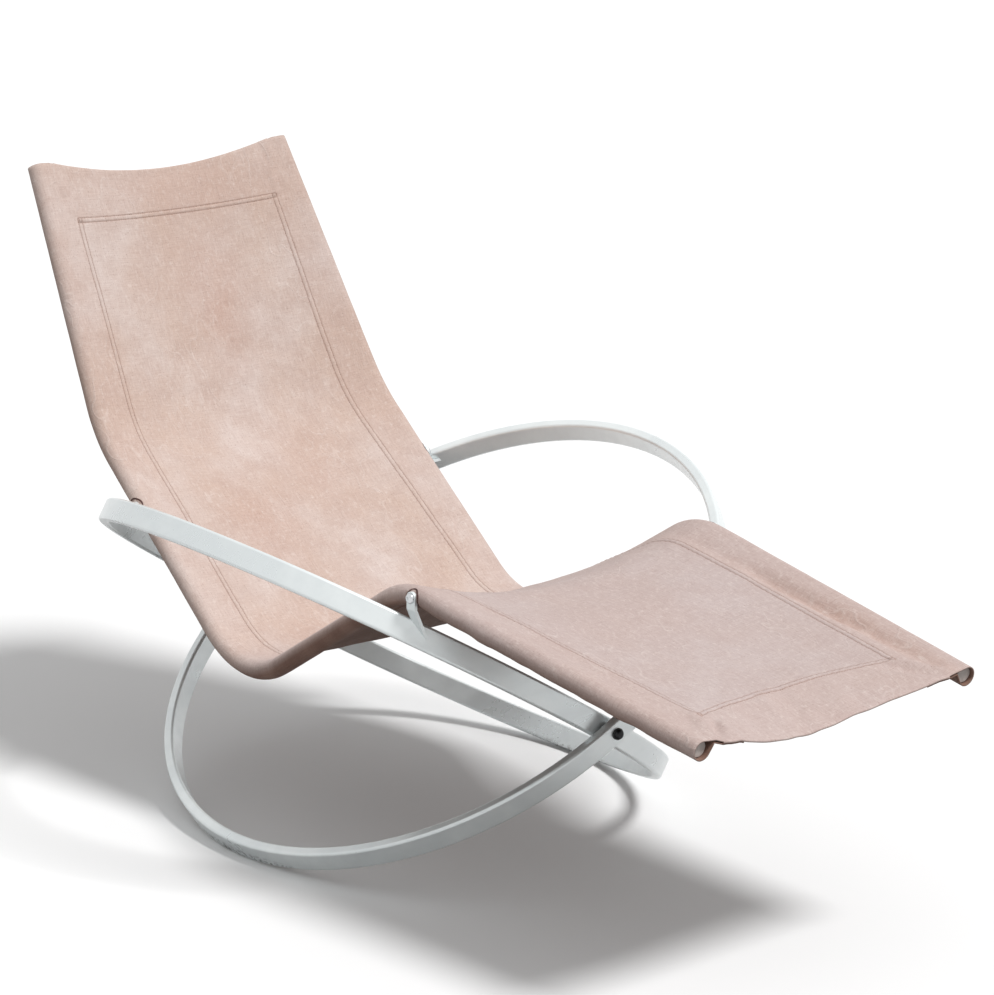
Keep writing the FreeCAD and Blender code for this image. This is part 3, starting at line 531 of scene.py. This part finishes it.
def across(kind, value, along):
    """Place of a left column in its section: across, up, outward direction and developed width."""
    span, centre, big, pocket = section(along)
    seam = span - pocket
    middle = big + CLOTH / 2
    top = np.arctan2(centre, -span)
    turn_in = span + LOOP_RADIUS * np.cos(top)
    closing = closing_at(along)
    lap_end = seam + LAP
    tip = lap_end + LAP_TIP + (span - POCKET_MOUTH - lap_end - LAP_TIP) * closing
    layers = 1 + np.clip((HEAD_SEAM + LAYER_MARGIN - along) / LAYER_EASE, 0, 1)
    foot_layers = along - RAIL_LENGTH + FOOT_SEAM + FOOT_SEAM_BOW + LAYER_MARGIN
    layers += np.clip(foot_layers / LAYER_EASE, 0, 1)
    under = middle + (CLOTH + LAYER_GAP) * layers
    tip_up = centre - np.sqrt(under**2 - tip**2)
    reach = np.hypot(tip - span, tip_up)
    bottom = np.mod(np.arctan2(tip_up, tip - span), 2 * np.pi)
    bottom = bottom + np.arccos(LOOP_RADIUS / reach) - 2 * np.pi
    if kind in ("field", "seam", "band"):
        if kind == "field":
            u = value * (seam - SEAM_ZONE)
        elif kind == "seam":
            u = seam + value
        else:
            u = seam + SEAM_ZONE + value * (turn_in - seam - SEAM_ZONE)
        up = centre - np.sqrt(middle**2 - u**2)
        return u, up, np.zeros_like(u), np.ones_like(u), u
    if kind == "loop":
        angle = top + (bottom - top) * value
        u, up = span + LOOP_RADIUS * np.cos(angle), LOOP_RADIUS * np.sin(angle)
        return u, up, np.cos(angle), np.sin(angle), turn_in + LOOP_RADIUS * (top - angle)
    loop_end = turn_in + LOOP_RADIUS * (top - bottom)
    start_u, start_up = span + LOOP_RADIUS * np.cos(bottom), LOOP_RADIUS * np.sin(bottom)
    flap_length = np.sqrt(reach**2 - LOOP_RADIUS**2)
    if kind == "flap":
        u = start_u + (tip - start_u) * value
        up = start_up + (tip_up - start_up) * value
        return u, up, np.zeros_like(u), -np.ones_like(u), loop_end + flap_length * value
    u = seam + value * MM if kind == "allowance" else tip + (lap_end - tip) * value
    up = centre - np.sqrt(under**2 - u**2)
    return u, up, np.zeros_like(u), -np.ones_like(u), loop_end + flap_length + (tip - u)


def seam_profile(distance):
    """Quilted section of a twin-needle seam."""
    lines = np.exp(-(((np.abs(distance) - STITCH_OFFSET) / NEEDLE_WIDTH) ** 2))
    return -NEEDLE_DEPTH * lines + SWELL_HEIGHT * np.exp(-((distance / SWELL_WIDTH) ** 2))


def fold(along, u, start, end, width, height):
    """Ridge or valley of the canvas on a line between two points, each (along, across)."""
    step = np.array([end[0] - start[0], end[1] - start[1]])
    share = ((along - start[0]) * step[0] + (u - start[1]) * step[1]) / step.dot(step)
    share = np.clip(share, 0, 1)
    off = np.hypot(along - start[0] - share * step[0], u - start[1] - share * step[1])
    taper = 0.35 + 0.65 * np.sin(np.pi * np.clip(share, 0.02, 0.98))
    return height * MM * taper * np.exp(-((off / (width * MM)) ** 2))


def field_noise(along, u, scale, seed):
    """Smooth noise between about -1 and 1."""
    places = np.stack([along / scale, u / scale, np.full_like(along, seed)], axis=-1).reshape(-1, 3)
    values = [noise.fractal(Vector(place), 1.0, 2.0, 3) for place in places]
    return np.array(values).reshape(along.shape)


# Creases: along and across at each end of the line, then width and height in millimetres. Those of the foot
# are counted back from the rails' foot ends.
HEAD_FOLDS = [
    ((0.000, 0.186), (0.075, 0.176), 6, 1.7),
    ((-0.006, 0.172), (0.060, 0.187), 5, -1.5),
    ((0.004, 0.160), (0.050, 0.158), 7, 1.0),
    ((0.000, -0.188), (0.070, -0.180), 6, 1.4),
    ((0.002, -0.172), (0.055, -0.176), 6, -1.2),
    ((0.030, -0.120), (0.012, 0.110), 16, -1.4),
]
FOOT_FOLDS = [
    ((0.066, -0.170), (0.000, -0.203), 6, 6.0),
    ((0.052, -0.150), (-0.004, -0.190), 7, -5.5),
    ((0.060, -0.146), (-0.006, -0.160), 8, 3.6),
    ((0.062, 0.160), (0.000, 0.200), 6, 5.0),
    ((0.056, 0.140), (-0.002, 0.190), 7, -3.4),
    ((0.052, 0.118), (-0.006, 0.172), 8, 2.6),
    ((0.520, 0.206), (0.200, 0.198), 10, -4.0),
    ((0.360, 0.202), (0.024, 0.196), 10, -9.5),
    ((0.420, -0.200), (0.050, -0.196), 10, -3.4),
    ((0.100, 0.000), (-0.006, -0.040), 10, -2.6),
    ((0.095, -0.040), (-0.008, -0.066), 9, 2.6),
    ((0.080, 0.060), (-0.006, 0.030), 14, 1.6),
    ((0.085, -0.075), (-0.006, -0.110), 12, -1.8),
    ((0.030, -0.020), (0.026, 0.090), 9, 1.2),
]
BODY_FOLDS = [
    ((0.300, -0.150), (0.318, 0.160), 15, -0.9),
    ((0.345, -0.160), (0.352, 0.140), 12, 0.8),
    ((0.520, -0.170), (0.560, -0.060), 14, 1.0),
    ((0.760, 0.175), (0.720, 0.060), 13, -1.0),
    ((0.930, -0.190), (0.905, -0.080), 12, 0.9),
    ((1.120, -0.195), (1.235, -0.120), 16, 1.6),
    ((1.150, 0.195), (1.250, 0.120), 16, 1.4),
]
# Droop of the free foot edge below its taut line, in millimetres, from the right rail to the left one
FOOT_DROOP = [(-0.215, 0), (-0.165, 6), (-0.115, 11.5), (-0.060, 13.5)]
FOOT_DROOP += [(-0.015, 11), (0.040, 5), (0.100, 1.5), (0.200, 0)]
FOOT_DROOP_START = 0.02
# Pinker patches of the canvas, the last one painted shade: along, across, their reach both ways and depth of
# tone
WARM_PATCHES = [
    (0.225, 0.028, 0.095, 0.052, 0.9),
    (0.600, -0.075, 0.070, 0.060, 0.8),
    (0.520, 0.060, 0.080, 0.070, 0.45),
    (0.050, 0.050, 0.050, 0.110, 0.45),
    (0.840, -0.120, 0.070, 0.070, 0.5),
    # Painted shade of the trough beside the left rail on the leg.
    (1.600, 0.203, 0.230, 0.013, 0.85),
]


def warmth(along, u):
    """Depth of the pinker tone, which in the strip beside the left rail on the leg is painted shade."""
    tone = np.zeros_like(along)
    for middle, side, reach, wide, depth in WARM_PATCHES:
        tone += depth * np.exp(-(((along - middle) / reach) ** 2) - ((u - side) / wide) ** 2)
    return np.clip(tone * (1 + 0.35 * field_noise(along, u, 0.05, seed=31.0)), 0, 1)


def displacement(along, u):
    """Height of the canvas off its taut form, for points above and below alike."""
    span, centre, big, pocket = section(along)
    seam = span - pocket
    side_seam = np.abs(u) - seam
    head_line = along - HEAD_SEAM
    foot_line = along - foot_seam_at(u)
    between = (head_line > -0.002) & (foot_line < 0.002)
    inside = side_seam < 0.002
    height = BILLOW_HEIGHT * field_noise(along, u, BILLOW_SIZE, seed=3.0)
    height += RUMPLE_HEIGHT * field_noise(along, u, RUMPLE_SIZE, seed=8.0)
    stray = PUCKER_STRAY * field_noise(along, u, 0.05, seed=15.0)
    pucker = np.sin(2 * np.pi * along / PUCKER_PITCH + stray)
    height += PUCKER_HEIGHT * pucker * np.exp(-((side_seam / PUCKER_REACH) ** 2)) * between
    stray = PUCKER_STRAY * field_noise(along, u, 0.05, seed=21.0)
    ripple = np.sin(2 * np.pi * u / PUCKER_PITCH + stray)
    for line in (head_line, foot_line):
        height += PUCKER_HEIGHT * ripple * np.exp(-((line / PUCKER_REACH) ** 2)) * inside
        height += seam_profile(line) * inside
    height += seam_profile(side_seam) * between
    for start, end, width, tall in HEAD_FOLDS + BODY_FOLDS:
        height += fold(along, u, start, end, width, tall)
    for start, end, width, tall in FOOT_FOLDS:
        turned = [(RAIL_LENGTH - far, side) for far, side in (start, end)]
        height += fold(along, u, turned[0], turned[1], width, tall)
    droop_length = FOOT_DROOP_START + FOOT_SEAM + FOOT_SEAM_BOW
    droop = np.clip((foot_line + FOOT_DROOP_START) / droop_length, 0, 1)
    height -= MM * droop * np.sqrt(droop) * smooth_table(FOOT_DROOP, u)
    clear_of_rail = np.clip((span - RAIL_CLEARANCE - np.abs(u)) / RAIL_EASE, 0, 1)
    return height * clear_of_rail * clear_of_rail * (3 - 2 * clear_of_rail)


def bow(u):
    """Share of the foot seam's bow at a place across."""
    return np.clip(1 - (np.abs(u - BOW_MIDDLE) / BOW_HALF_WIDTH) ** BOW_POWER, 0, 1)


def foot_seam_at(u):
    """Length at which the foot seam crosses a place across."""
    return RAIL_LENGTH - FOOT_SEAM - FOOT_SEAM_BOW * bow(u)


def row_lengths():
    """Nominal lengths of the rows, finer at the two end seams."""
    head, foot = HEAD_SEAM, RAIL_LENGTH - FOOT_SEAM
    stretches = []
    for low, high in (
        (-OVERRUN, head - SEAM_ZONE),
        (head + SEAM_ZONE, foot - SEAM_ZONE),
        (foot + SEAM_ZONE, RAIL_LENGTH + OVERRUN),
    ):
        steps = int(round((high - low) / GRID_STEP))
        stretches.append(np.linspace(low, high, steps + 1))
    before, middle, after = stretches
    return np.concatenate([before[:-1], head + ZONE, middle[1:-1], foot + ZONE, after[1:]])


def bent_lengths(nominal, u):
    """Lengths of a column's points: the rows follow the hollow ends and the bowed foot seam."""
    half = RAIL_CORNERS[0][0] - 1.5 * RAIL_RADIUS
    arc = np.clip(1 - (u / half) ** 2, 0, 1)
    knots = [
        (-OVERRUN, HEAD_HOLLOW * arc),
        (HEAD_SEAM, 0 * arc),
        (HEAD_SEAM + 0.15, 0 * arc),
        (RAIL_LENGTH - 0.36, 0 * arc),
        (RAIL_LENGTH - FOOT_SEAM, -FOOT_SEAM_BOW * bow(u)),
        (RAIL_LENGTH + OVERRUN, -FOOT_HOLLOW * arc),
    ]
    shift = np.zeros_like(u)
    for number, ((low, before), (high, after)) in enumerate(zip(knots, knots[1:])):
        share = (nominal - low) / (high - low)
        here = (share >= 0) & (share <= 1) if number == 0 else (share > 0) & (share <= 1)
        shift = np.where(here, before * (1 - share) + after * share, shift)
    return nominal + shift


def to_space(along, u, up):
    """Points of the frame from lengths along the rails, places across and heights above the rails."""
    y = np.interp(along, STATIONS, RAIL_POINTS[:, 1])
    z = np.interp(along, STATIONS, RAIL_POINTS[:, 2])
    run = np.interp(along, STATIONS, RAIL_DIRECTIONS[:, 1])
    rise = np.interp(along, STATIONS, RAIL_DIRECTIONS[:, 2])
    size = np.hypot(run, rise)
    return np.stack([u, y + up * rise / size, z - up * run / size], axis=-1)


def pocket_slack(along, width, value):
    """Height of the pocket off its rail: close at the lugs and open ends, hanging under seat and leg."""
    slack = np.clip(0.6 + 0.5 * field_noise(along, width, 0.045, seed=5.0), 0, 1.2)
    hang = 2.6 * np.clip((along - BEND_MIDDLES[1]) / 0.15, 0, 1) * (1 - closing_at(along))
    height = (0.5 * np.sin(np.pi * value) + hang * np.sin(np.pi * value**2) ** 2) * MM * slack
    return height * away_from_lugs(along)


def pocket_bleach_and_shade(along, value):
    """1 on the bleached top of the pocket, 0 on its underside, whose unfaded colour is darkened as painted
    shade; at the seat it starts higher, as a painted shadow of the arms.
    """
    shoulder, valley, knee = BEND_MIDDLES
    # Painted shadow of the arms: the dark underside colour reaches higher up the pocket between seat and
    # knee.
    painted_arm_shadow = 0.22 * np.exp(-(((along - (valley + knee) / 2 + 0.03) / 0.17) ** 4))
    return np.clip((0.72 - painted_arm_shadow - value) / 0.30, 0, 1)


def needle_groove_painted_shade(along, u):
    """1 on the needle lines of the seams, 0 away from them; the canvas material paints the shade of the
    needle grooves there.
    """
    span, centre, big, pocket = section(along)
    off_seam = np.abs(u) - (span - pocket)
    side_line = np.abs(np.abs(off_seam) - STITCH_OFFSET)
    end_line = np.minimum(np.abs(along - HEAD_SEAM), np.abs(along - foot_seam_at(u)))
    end_line = np.abs(end_line - STITCH_OFFSET)
    between = (along > HEAD_SEAM - SEAM_MARGIN) & (along < foot_seam_at(u) + SEAM_MARGIN)
    seam = np.exp(-((side_line / NEEDLE_SHADE_WIDTH) ** 2)) * between
    return np.maximum(seam, np.exp(-((end_line / NEEDLE_SHADE_WIDTH) ** 2)) * (off_seam < SEAM_MARGIN))


def band_shade(along, u):
    """1 on the hem outside the seams, 0 in the field."""
    span, centre, big, pocket = section(along)
    beyond = np.maximum(HEAD_SEAM - along, along - foot_seam_at(u))
    beyond = np.maximum(beyond, np.abs(u) - (span - pocket))
    return np.clip(beyond / BAND_EASE, 0, 1)


def canvas_grid():
    """Grid of the canvas' middle surface with its lengths, developed widths and looks."""
    nominal = row_lengths()
    columns = [(-1, kind, value) for kind, value in HALF_COLUMNS[:0:-1]]
    columns += [(1, kind, value) for kind, value in HALF_COLUMNS]
    shape = (len(nominal), len(columns))
    grid = {name: np.zeros(shape) for name in ("along", "u", "width", "sun", "band", "seam", "warm")}
    points = np.zeros(shape + (3,))
    for index, (side, kind, value) in enumerate(columns):
        u = across(kind, value, nominal)[0]
        along = bent_lengths(nominal, side * u)
        u, up, out_u, out_up, width = across(kind, value, along)
        height = displacement(along, side * u)
        # sun is the share of the bleached top colour; the rest is the unfaded underside colour, darkened as
        # painted shade.
        sun = np.ones_like(u)
        if kind == "loop":
            height = pocket_slack(along, side * width, value)
            sun = pocket_bleach_and_shade(along, value)
        if kind in ("flap", "lap", "allowance"):
            height = -height * (value if kind == "flap" else 1.0)
            sun = np.zeros_like(u)
        u = u + out_u * height
        up = up + out_up * height
        points[:, index] = to_space(along, side * u, up)
        grid["along"][:, index] = along
        grid["u"][:, index] = side * u
        grid["width"][:, index] = side * width
        grid["sun"][:, index] = sun
        grid["warm"][:, index] = warmth(along, side * u)
        grid["band"][:, index] = band_shade(along, side * u)
        grid["seam"][:, index] = needle_groove_painted_shade(along, side * u) if kind != "loop" else 0
    return nominal, columns, points, grid


def grid_normals(points):
    """Unit normals of a grid, upwards in the field."""
    rows = np.gradient(points, axis=0)
    widths = np.gradient(points, axis=1)
    normals = np.cross(widths, rows)
    normals /= np.linalg.norm(normals, axis=2)[:, :, None]
    middle = normals[normals.shape[0] // 4, normals.shape[1] // 2]
    return -normals if middle[2] < 0 else normals


# Share of the bleached colour on the rounded edge of an end hem, from above to below; the rest is the
# underside colour, darkened as painted shade.
FOLD_BLEACH_AND_SHADE = [1.0, 0.8, 0.4]


def end_hem(points, normals, rows, outward):
    """Extra rows that fold the end of the canvas under and bring it back to its seam."""
    fold_radius = (CLOTH + LAYER_GAP) / 2
    made = []
    for quarter in (1, 2, 3):
        angle = quarter * math.pi / 4
        out = outward * fold_radius * math.sin(angle)
        made.append(points[rows[0]] + out - normals[rows[0]] * fold_radius * (1 - math.cos(angle)))
    for row in rows:
        made.append(points[row] - normals[row] * 2 * fold_radius)
    return made


def mesh_object(name, verts, faces, materials):
    """New smooth mesh object."""
    mesh = bpy.data.meshes.new(name)
    mesh.from_pydata([tuple(vert) for vert in verts], [], faces)
    mesh.shade_smooth()
    obj = bpy.data.objects.new(name, mesh)
    scene.collection.objects.link(obj)
    for material in materials:
        mesh.materials.append(material)
    return obj


def vertex_normals(verts, faces):
    """Area-weighted vertex normals of quads."""
    corners = verts[faces]
    flat = np.cross(corners[:, 2] - corners[:, 0], corners[:, 3] - corners[:, 1])
    normals = np.zeros_like(verts)
    for corner in range(4):
        np.add.at(normals, faces[:, corner], flat)
    return normals / np.linalg.norm(normals, axis=1)[:, None]


def thicken(verts, faces, looks, flat):
    """Solid sheet from its middle surface: upper layer, lower layer and a rim."""
    normals = vertex_normals(verts, faces)
    count = len(verts)
    both = np.concatenate([verts + normals * CLOTH / 2, verts - normals * CLOTH / 2])
    lower = faces[:, ::-1] + count
    edges = {}
    for face in faces:
        for first, second in zip(face, np.roll(face, -1)):
            edges[(first, second)] = edges.get((first, second), 0) + 1
    rim = [
        (first, first + count, second + count, second)
        for first, second in edges
        if (second, first) not in edges
    ]
    solid = np.concatenate([faces, lower, np.array(rim)])
    doubled = {name: np.concatenate([values, values]) for name, values in looks.items()}
    # The lower layer takes the underside colour, unfaded and darkened as painted shade.
    doubled["sun"][count:] = 0
    return both, solid, doubled, np.concatenate([flat, flat])


def write_looks(obj, looks, flat):
    """Attributes that the canvas material reads, and the canvas map in metres."""
    mesh = obj.data
    for name, values in looks.items():
        layer = mesh.attributes.new(name, "FLOAT", "POINT")
        layer.data.foreach_set("value", values.astype(np.float32))
    layer = mesh.uv_layers.new(name="canvas")
    loops = np.zeros(len(mesh.loops), int)
    mesh.loops.foreach_get("vertex_index", loops)
    layer.data.foreach_set("uv", flat[loops].astype(np.float32).ravel())


def make_canvas():
    """The sling, its notches cut, and the grid that its stitching follows."""
    nominal, columns, points, grid = canvas_grid()
    normals = grid_normals(points)
    rows, wide = points.shape[:2]
    index = np.arange(rows * wide).reshape(rows, wide)
    verts = points.reshape(-1, 3)
    looks = {name: grid[name].ravel() for name in ("sun", "band", "seam", "warm")}
    flat = np.stack([grid["width"].ravel(), grid["along"].ravel()], axis=1)
    quads = [index[:-1, :-1], index[:-1, 1:], index[1:, 1:], index[1:, :-1]]
    faces = np.stack([part.ravel() for part in quads], axis=1)

    hemmed = [
        number
        for number, (side, kind, value) in enumerate(columns)
        if kind in ("field", "seam") or (kind == "band" and value < 0.45)
    ]
    low, high = hemmed[0], hemmed[-1] + 1
    head_rows = [row for row in range(rows) if nominal[row] <= HEAD_SEAM + HEM_ALLOWANCE]
    foot_hem = RAIL_LENGTH - FOOT_SEAM - HEM_ALLOWANCE
    foot_rows = [row for row in range(rows) if nominal[row] >= foot_hem][::-1]
    for hem_rows, first, second in ((head_rows, 0, 1), (foot_rows, rows - 1, rows - 2)):
        outward = points[first] - points[second]
        outward /= np.linalg.norm(outward, axis=1)[:, None]
        made = end_hem(points[:, low:high], normals[:, low:high], hem_rows, outward[low:high])
        extra = np.array(made)
        numbers = len(verts) + np.arange(extra.shape[0] * extra.shape[1]).reshape(extra.shape[:2])
        numbers = np.concatenate([index[first : first + 1, low:high], numbers])
        parts = [numbers[:-1, :-1], numbers[:-1, 1:], numbers[1:, 1:], numbers[1:, :-1]]
        if first == 0:
            parts = parts[::-1]
        faces = np.concatenate([faces, np.stack([part.ravel() for part in parts], axis=1)])
        verts = np.concatenate([verts, extra.reshape(-1, 3)])
        sources = [first] * 3 + hem_rows
        lit = np.array(FOLD_BLEACH_AND_SHADE + [0.0] * len(hem_rows))[:, None]
        for name in looks:
            values = grid[name][sources, low:high] * (lit if name == "sun" else 1)
            looks[name] = np.concatenate([looks[name], values.ravel()])
        places = np.stack([grid["width"][sources, low:high], grid["along"][sources, low:high]], axis=-1)
        flat = np.concatenate([flat, places.reshape(-1, 2)])
    if vertex_normals(verts, faces)[index[rows // 4, wide // 2], 2] < 0:
        faces = faces[:, ::-1]
    shoulder, valley, knee = BEND_MIDDLES
    looks["leg"] = np.clip((flat[:, 1] - valley - LEG_START) / LEG_FADE, 0, 1)
    corners = verts[faces]
    doubled_areas = np.cross(corners[:, 2] - corners[:, 0], corners[:, 3] - corners[:, 1])
    area = 0.5 * np.linalg.norm(doubled_areas, axis=1).sum()
    verts, faces, looks, flat = thicken(verts, faces, looks, flat)
    sling = mesh_object("canvas_sling", verts, faces.tolist(), [CANVAS])
    write_looks(sling, looks, flat)
    cut_notches(sling)
    hems = HEAD_SEAM + FOOT_SEAM + 2 * HEM_ALLOWANCE
    flat_size = (2 * grid["width"].max(), RAIL_LENGTH + 2 * OVERRUN + hems)
    return sling, nominal, columns, points, normals, area, flat_size


def notch_frame(side, reach):
    """Centre of a hem opening, and the rail's direction and the one square to it, both in the side view."""
    length = lug_length(reach)
    centre = np.array([np.interp(length, STATIONS, RAIL_POINTS[:, axis]) for axis in range(3)])
    centre[0] *= side
    along = np.array([0.0] + [np.interp(length, STATIONS, RAIL_DIRECTIONS[:, axis]) for axis in (1, 2)])
    along /= np.linalg.norm(along)
    square = np.array([0.0, -along[2], along[1]])
    if square[2] < 0:
        square = -square
    return centre, along, square


def notch_outline(along, square, drop):
    """Outline of a hem opening about its lug's bolt: an arch above and two straight sides below."""
    wide = NOTCH_HALF_WIDTH / abs(along[1])
    down = np.array([0.0, 0.0, -1.0])
    angles = np.linspace(0, math.pi, 25)
    arch = [along * wide * math.cos(t) + square * NOTCH_RISE * math.sin(t) for t in angles]
    first = [arch[0] + down * drop * share for share in (1.0, 0.75, 0.5, 0.25)]
    last = [arch[-1] + down * drop * share for share in (0.25, 0.5, 0.75, 1.0)]
    return first + arch + last


def cut_notches(sling):
    """Cut the four openings of the hem at the lugs."""
    cutters = []
    for side in (-1, 1):
        for reach in (FRONT_LUG_REACH, REAR_LUG_REACH):
            centre, along, square = notch_frame(side, reach)
            outline = notch_outline(along, square, CUTTER_DROP)
            count = len(outline)
            verts = []
            for out in (NOTCH_INSET, NOTCH_INSET + CUTTER_DEPTH):
                verts += [centre + place + [side * out, 0, 0] for place in outline]
            faces = [tuple(range(count)), tuple(range(2 * count - 1, count - 1, -1))]
            for index in range(count):
                after = (index + 1) % count
                faces.append((index, index + count, after + count, after))
            cutter = mesh_object("notch_cutter", verts, faces, [])
            cutter.data.shade_flat()
            cutters.append(cutter)
    for cutter in cutters:
        modifier = sling.modifiers.new("notch", "BOOLEAN")
        modifier.operation = "DIFFERENCE"
        modifier.solver = "EXACT"
        modifier.object = cutter
    depsgraph = bpy.context.evaluated_depsgraph_get()
    mesh = bpy.data.meshes.new_from_object(sling.evaluated_get(depsgraph))
    sling.modifiers.clear()
    sling.data = mesh
    for cutter in cutters:
        bpy.data.objects.remove(cutter)


# Stitching
def point_at(lengths, places, length):
    """Place or direction at a length of a line."""
    return np.array([np.interp(length, lengths, places[:, axis]) for axis in range(3)])


def stitches_along(points, normals, lift, pitch, length, into):
    """Rounded stitches end to end along a line of points."""
    steps = np.linalg.norm(np.diff(points, axis=0), axis=1)
    lengths = np.concatenate([[0], np.cumsum(steps)])
    count = int(lengths[-1] // pitch)
    sides = STITCH_SIDES
    for number in range(count):
        start = number * pitch + (pitch - length) / 2
        ring_start = len(into["verts"])
        first, last = (point_at(lengths, points, start + share * length) for share in (0, 1))
        normal = point_at(lengths, normals, start + length / 2)
        normal /= np.linalg.norm(normal)
        forward = last - first
        sideways = np.cross(forward, normal)
        sideways /= np.linalg.norm(sideways)
        for share, height, wide in STITCH_PROFILE:
            centre = first + forward * share + normal * (lift + height * STITCH_RADIUS)
            for corner in range(sides):
                angle = 2 * math.pi * corner / sides
                arm = sideways * math.cos(angle) + normal * math.sin(angle) * STITCH_FLATNESS
                into["verts"].append(centre + arm * STITCH_RADIUS * wide)
        for ring in range(len(STITCH_PROFILE) - 1):
            for corner in range(sides):
                a = ring_start + ring * sides + corner
                b = ring_start + ring * sides + (corner + 1) % sides
                into["faces"].append((a, b, b + sides, a + sides))
        into["faces"].append(tuple(ring_start + corner for corner in range(sides))[::-1])
        last_ring = ring_start + (len(STITCH_PROFILE) - 1) * sides
        into["faces"].append(tuple(last_ring + corner for corner in range(sides)))


def make_stitching(nominal, columns, points, normals):
    """Twin rows of stitches on every seam, above and below, with bar tacks at the four corners."""
    rows = {}
    for name, seam in (("head", HEAD_SEAM), ("foot", RAIL_LENGTH - FOOT_SEAM)):
        for offset in (-STITCH_OFFSET, 0.0, STITCH_OFFSET):
            rows[name, offset] = int(np.argmin(np.abs(nominal - seam - offset)))
    column = {}
    for number, (side, kind, value) in enumerate(columns):
        if kind == "seam" and min(abs(abs(value) - STITCH_OFFSET), abs(value)) < 1e-6:
            column[side, round(value, 5)] = number
    into = {"verts": [], "faces": []}
    top = CLOTH / 2
    below = -(CLOTH * 1.5 + LAYER_GAP)
    for lift in (top, below):
        for side in (-1, 1):
            for offset in (-STITCH_OFFSET, STITCH_OFFSET):
                line = column[side, round(offset, 5)]
                span = slice(rows["head", -offset], rows["foot", offset] + 1)
                path = points[span, line], normals[span, line]
                stitches_along(*path, lift, STITCH_PITCH, STITCH_LENGTH, into)
        for name in ("head", "foot"):
            for offset in (-STITCH_OFFSET, STITCH_OFFSET):
                row = rows[name, offset]
                reach = offset if name == "foot" else -offset
                span = slice(column[-1, round(reach, 5)], column[1, round(reach, 5)] + 1)
                path = points[row, span], normals[row, span]
                stitches_along(*path, lift, STITCH_PITCH, STITCH_LENGTH, into)
    for side in (-1, 1):
        for name in ("head", "foot"):
            row, line = rows[name, 0.0], column[side, 0.0]
            near = slice(row - 4, row + 5)
            for step in (-3, -1, 1, 3):
                path = points[near, line + step], normals[near, line + step]
                stitches_along(*path, top, TACK_PITCH, TACK_LENGTH, into)
    return mesh_object("canvas_stitching", into["verts"], into["faces"], [THREAD])


def ring_tube(name, path, ups, radius, material):
    """Round tube along a closed path."""
    path, ups = np.array(path), np.array(ups)
    count = len(path)
    forward = np.roll(path, -1, axis=0) - np.roll(path, 1, axis=0)
    forward /= np.linalg.norm(forward, axis=1)[:, None]
    sideways = np.cross(forward, ups)
    sideways /= np.linalg.norm(sideways, axis=1)[:, None]
    lift = np.cross(sideways, forward)
    verts, faces = [], []
    sides = BINDING_SIDES
    for point, side, up in zip(path, sideways, lift):
        for corner in range(sides):
            angle = 2 * math.pi * corner / sides
            verts.append(point + (side * math.cos(angle) + up * math.sin(angle)) * radius)
    for ring in range(count):
        here, after = ring * sides, (ring + 1) % count * sides
        for corner in range(sides):
            step = (corner + 1) % sides
            faces.append((here + corner, here + step, after + step, after + corner))
    return mesh_object(name, verts, faces, [material])


def make_notch_bindings():
    """Dark whipped edge round each opening of the hem, on the outside of its pocket."""
    made = []
    low = -math.sqrt(LOOP_RADIUS**2 - NOTCH_INSET**2)
    for side, body in ((-1, "right_frame"), (1, "left_frame")):
        for word, reach in (("front", FRONT_LUG_REACH), ("rear", REAR_LUG_REACH)):
            centre, along, square = notch_frame(side, reach)
            drop = -low / abs(along[1])
            path, ups = [], []
            outline = notch_outline(along, square, drop)
            across_foot = outline[0] - outline[-1]
            closing = [outline[-1] + across_foot * share for share in (0.2, 0.4, 0.6, 0.8)]
            for place in outline + closing:
                rise = max(place.dot(square), low)
                out = math.sqrt(LOOP_RADIUS**2 - rise**2)
                radial = square * rise + np.array([side * out, 0.0, 0.0])
                path.append(centre + along * place.dot(along) + radial)
                ups.append(radial / LOOP_RADIUS)
            name = "notch_binding_%s_%s" % ("right" if side < 0 else "left", word)
            ring = ring_tube(name, path, ups, BINDING_RADIUS, BINDING)
            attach(ring, body)
            made.append(ring)
    return made


make_camera()
scene.view_settings.view_transform = "Standard"
make_stage()

CANVAS = canvas_material()
THREAD = thread_material("sewing_thread", srgb(176, 140, 124), srgb(140, 108, 95))
BINDING = thread_material("dark_binding", srgb(96, 66, 60), srgb(62, 40, 38))
PAINT = paint_material()
ZINC = zinc_material()
RUBBED = (150.0, 0.65, 0.45, 0.68), (600.0, 3.0)
DUSTY = (120.0, 0.6, 0.42, 0.68), (900.0, 2.0)
STEEL = srgb(58, 58, 60), srgb(24, 24, 26), (0.38, 0.55)
NYLON = srgb(46, 46, 47), srgb(22, 22, 23), (0.5, 0.7)
GREY = srgb(212, 203, 197), srgb(186, 178, 173), (0.45, 0.7)
BLACK_STEEL = mottled_material("blackened_steel", 0.7, *STEEL, *RUBBED)
BLACK_NYLON = mottled_material("black_nylon_moulding", 0.0, *NYLON, *RUBBED)
PLUG = mottled_material("grey_moulding", 0.0, *GREY, *DUSTY)
SLOT_LOOKS = {
    "frame_paint": PAINT,
    "zinc": ZINC,
    "black_steel": BLACK_STEEL,
    "black_nylon": BLACK_NYLON,
    "grey_plastic": PLUG,
    "canvas": CANVAS,
}
for row in frame["record"]["subparts"]:
    node = NODES[row["node"]]
    node.data.materials.clear()
    node.data.materials.append(SLOT_LOOKS[row["material_slot"]])

sling, nominal, columns, points, normals, area, flat_size = make_canvas()
stitching = make_stitching(nominal, columns, points, normals)
bindings = make_notch_bindings()
for soft in (sling, stitching):
    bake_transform(soft)
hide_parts("sling")
print("canvas %.4f m2, %d faces" % (area, len(sling.data.polygons)), "flat %.3f x %.3f m" % flat_size)
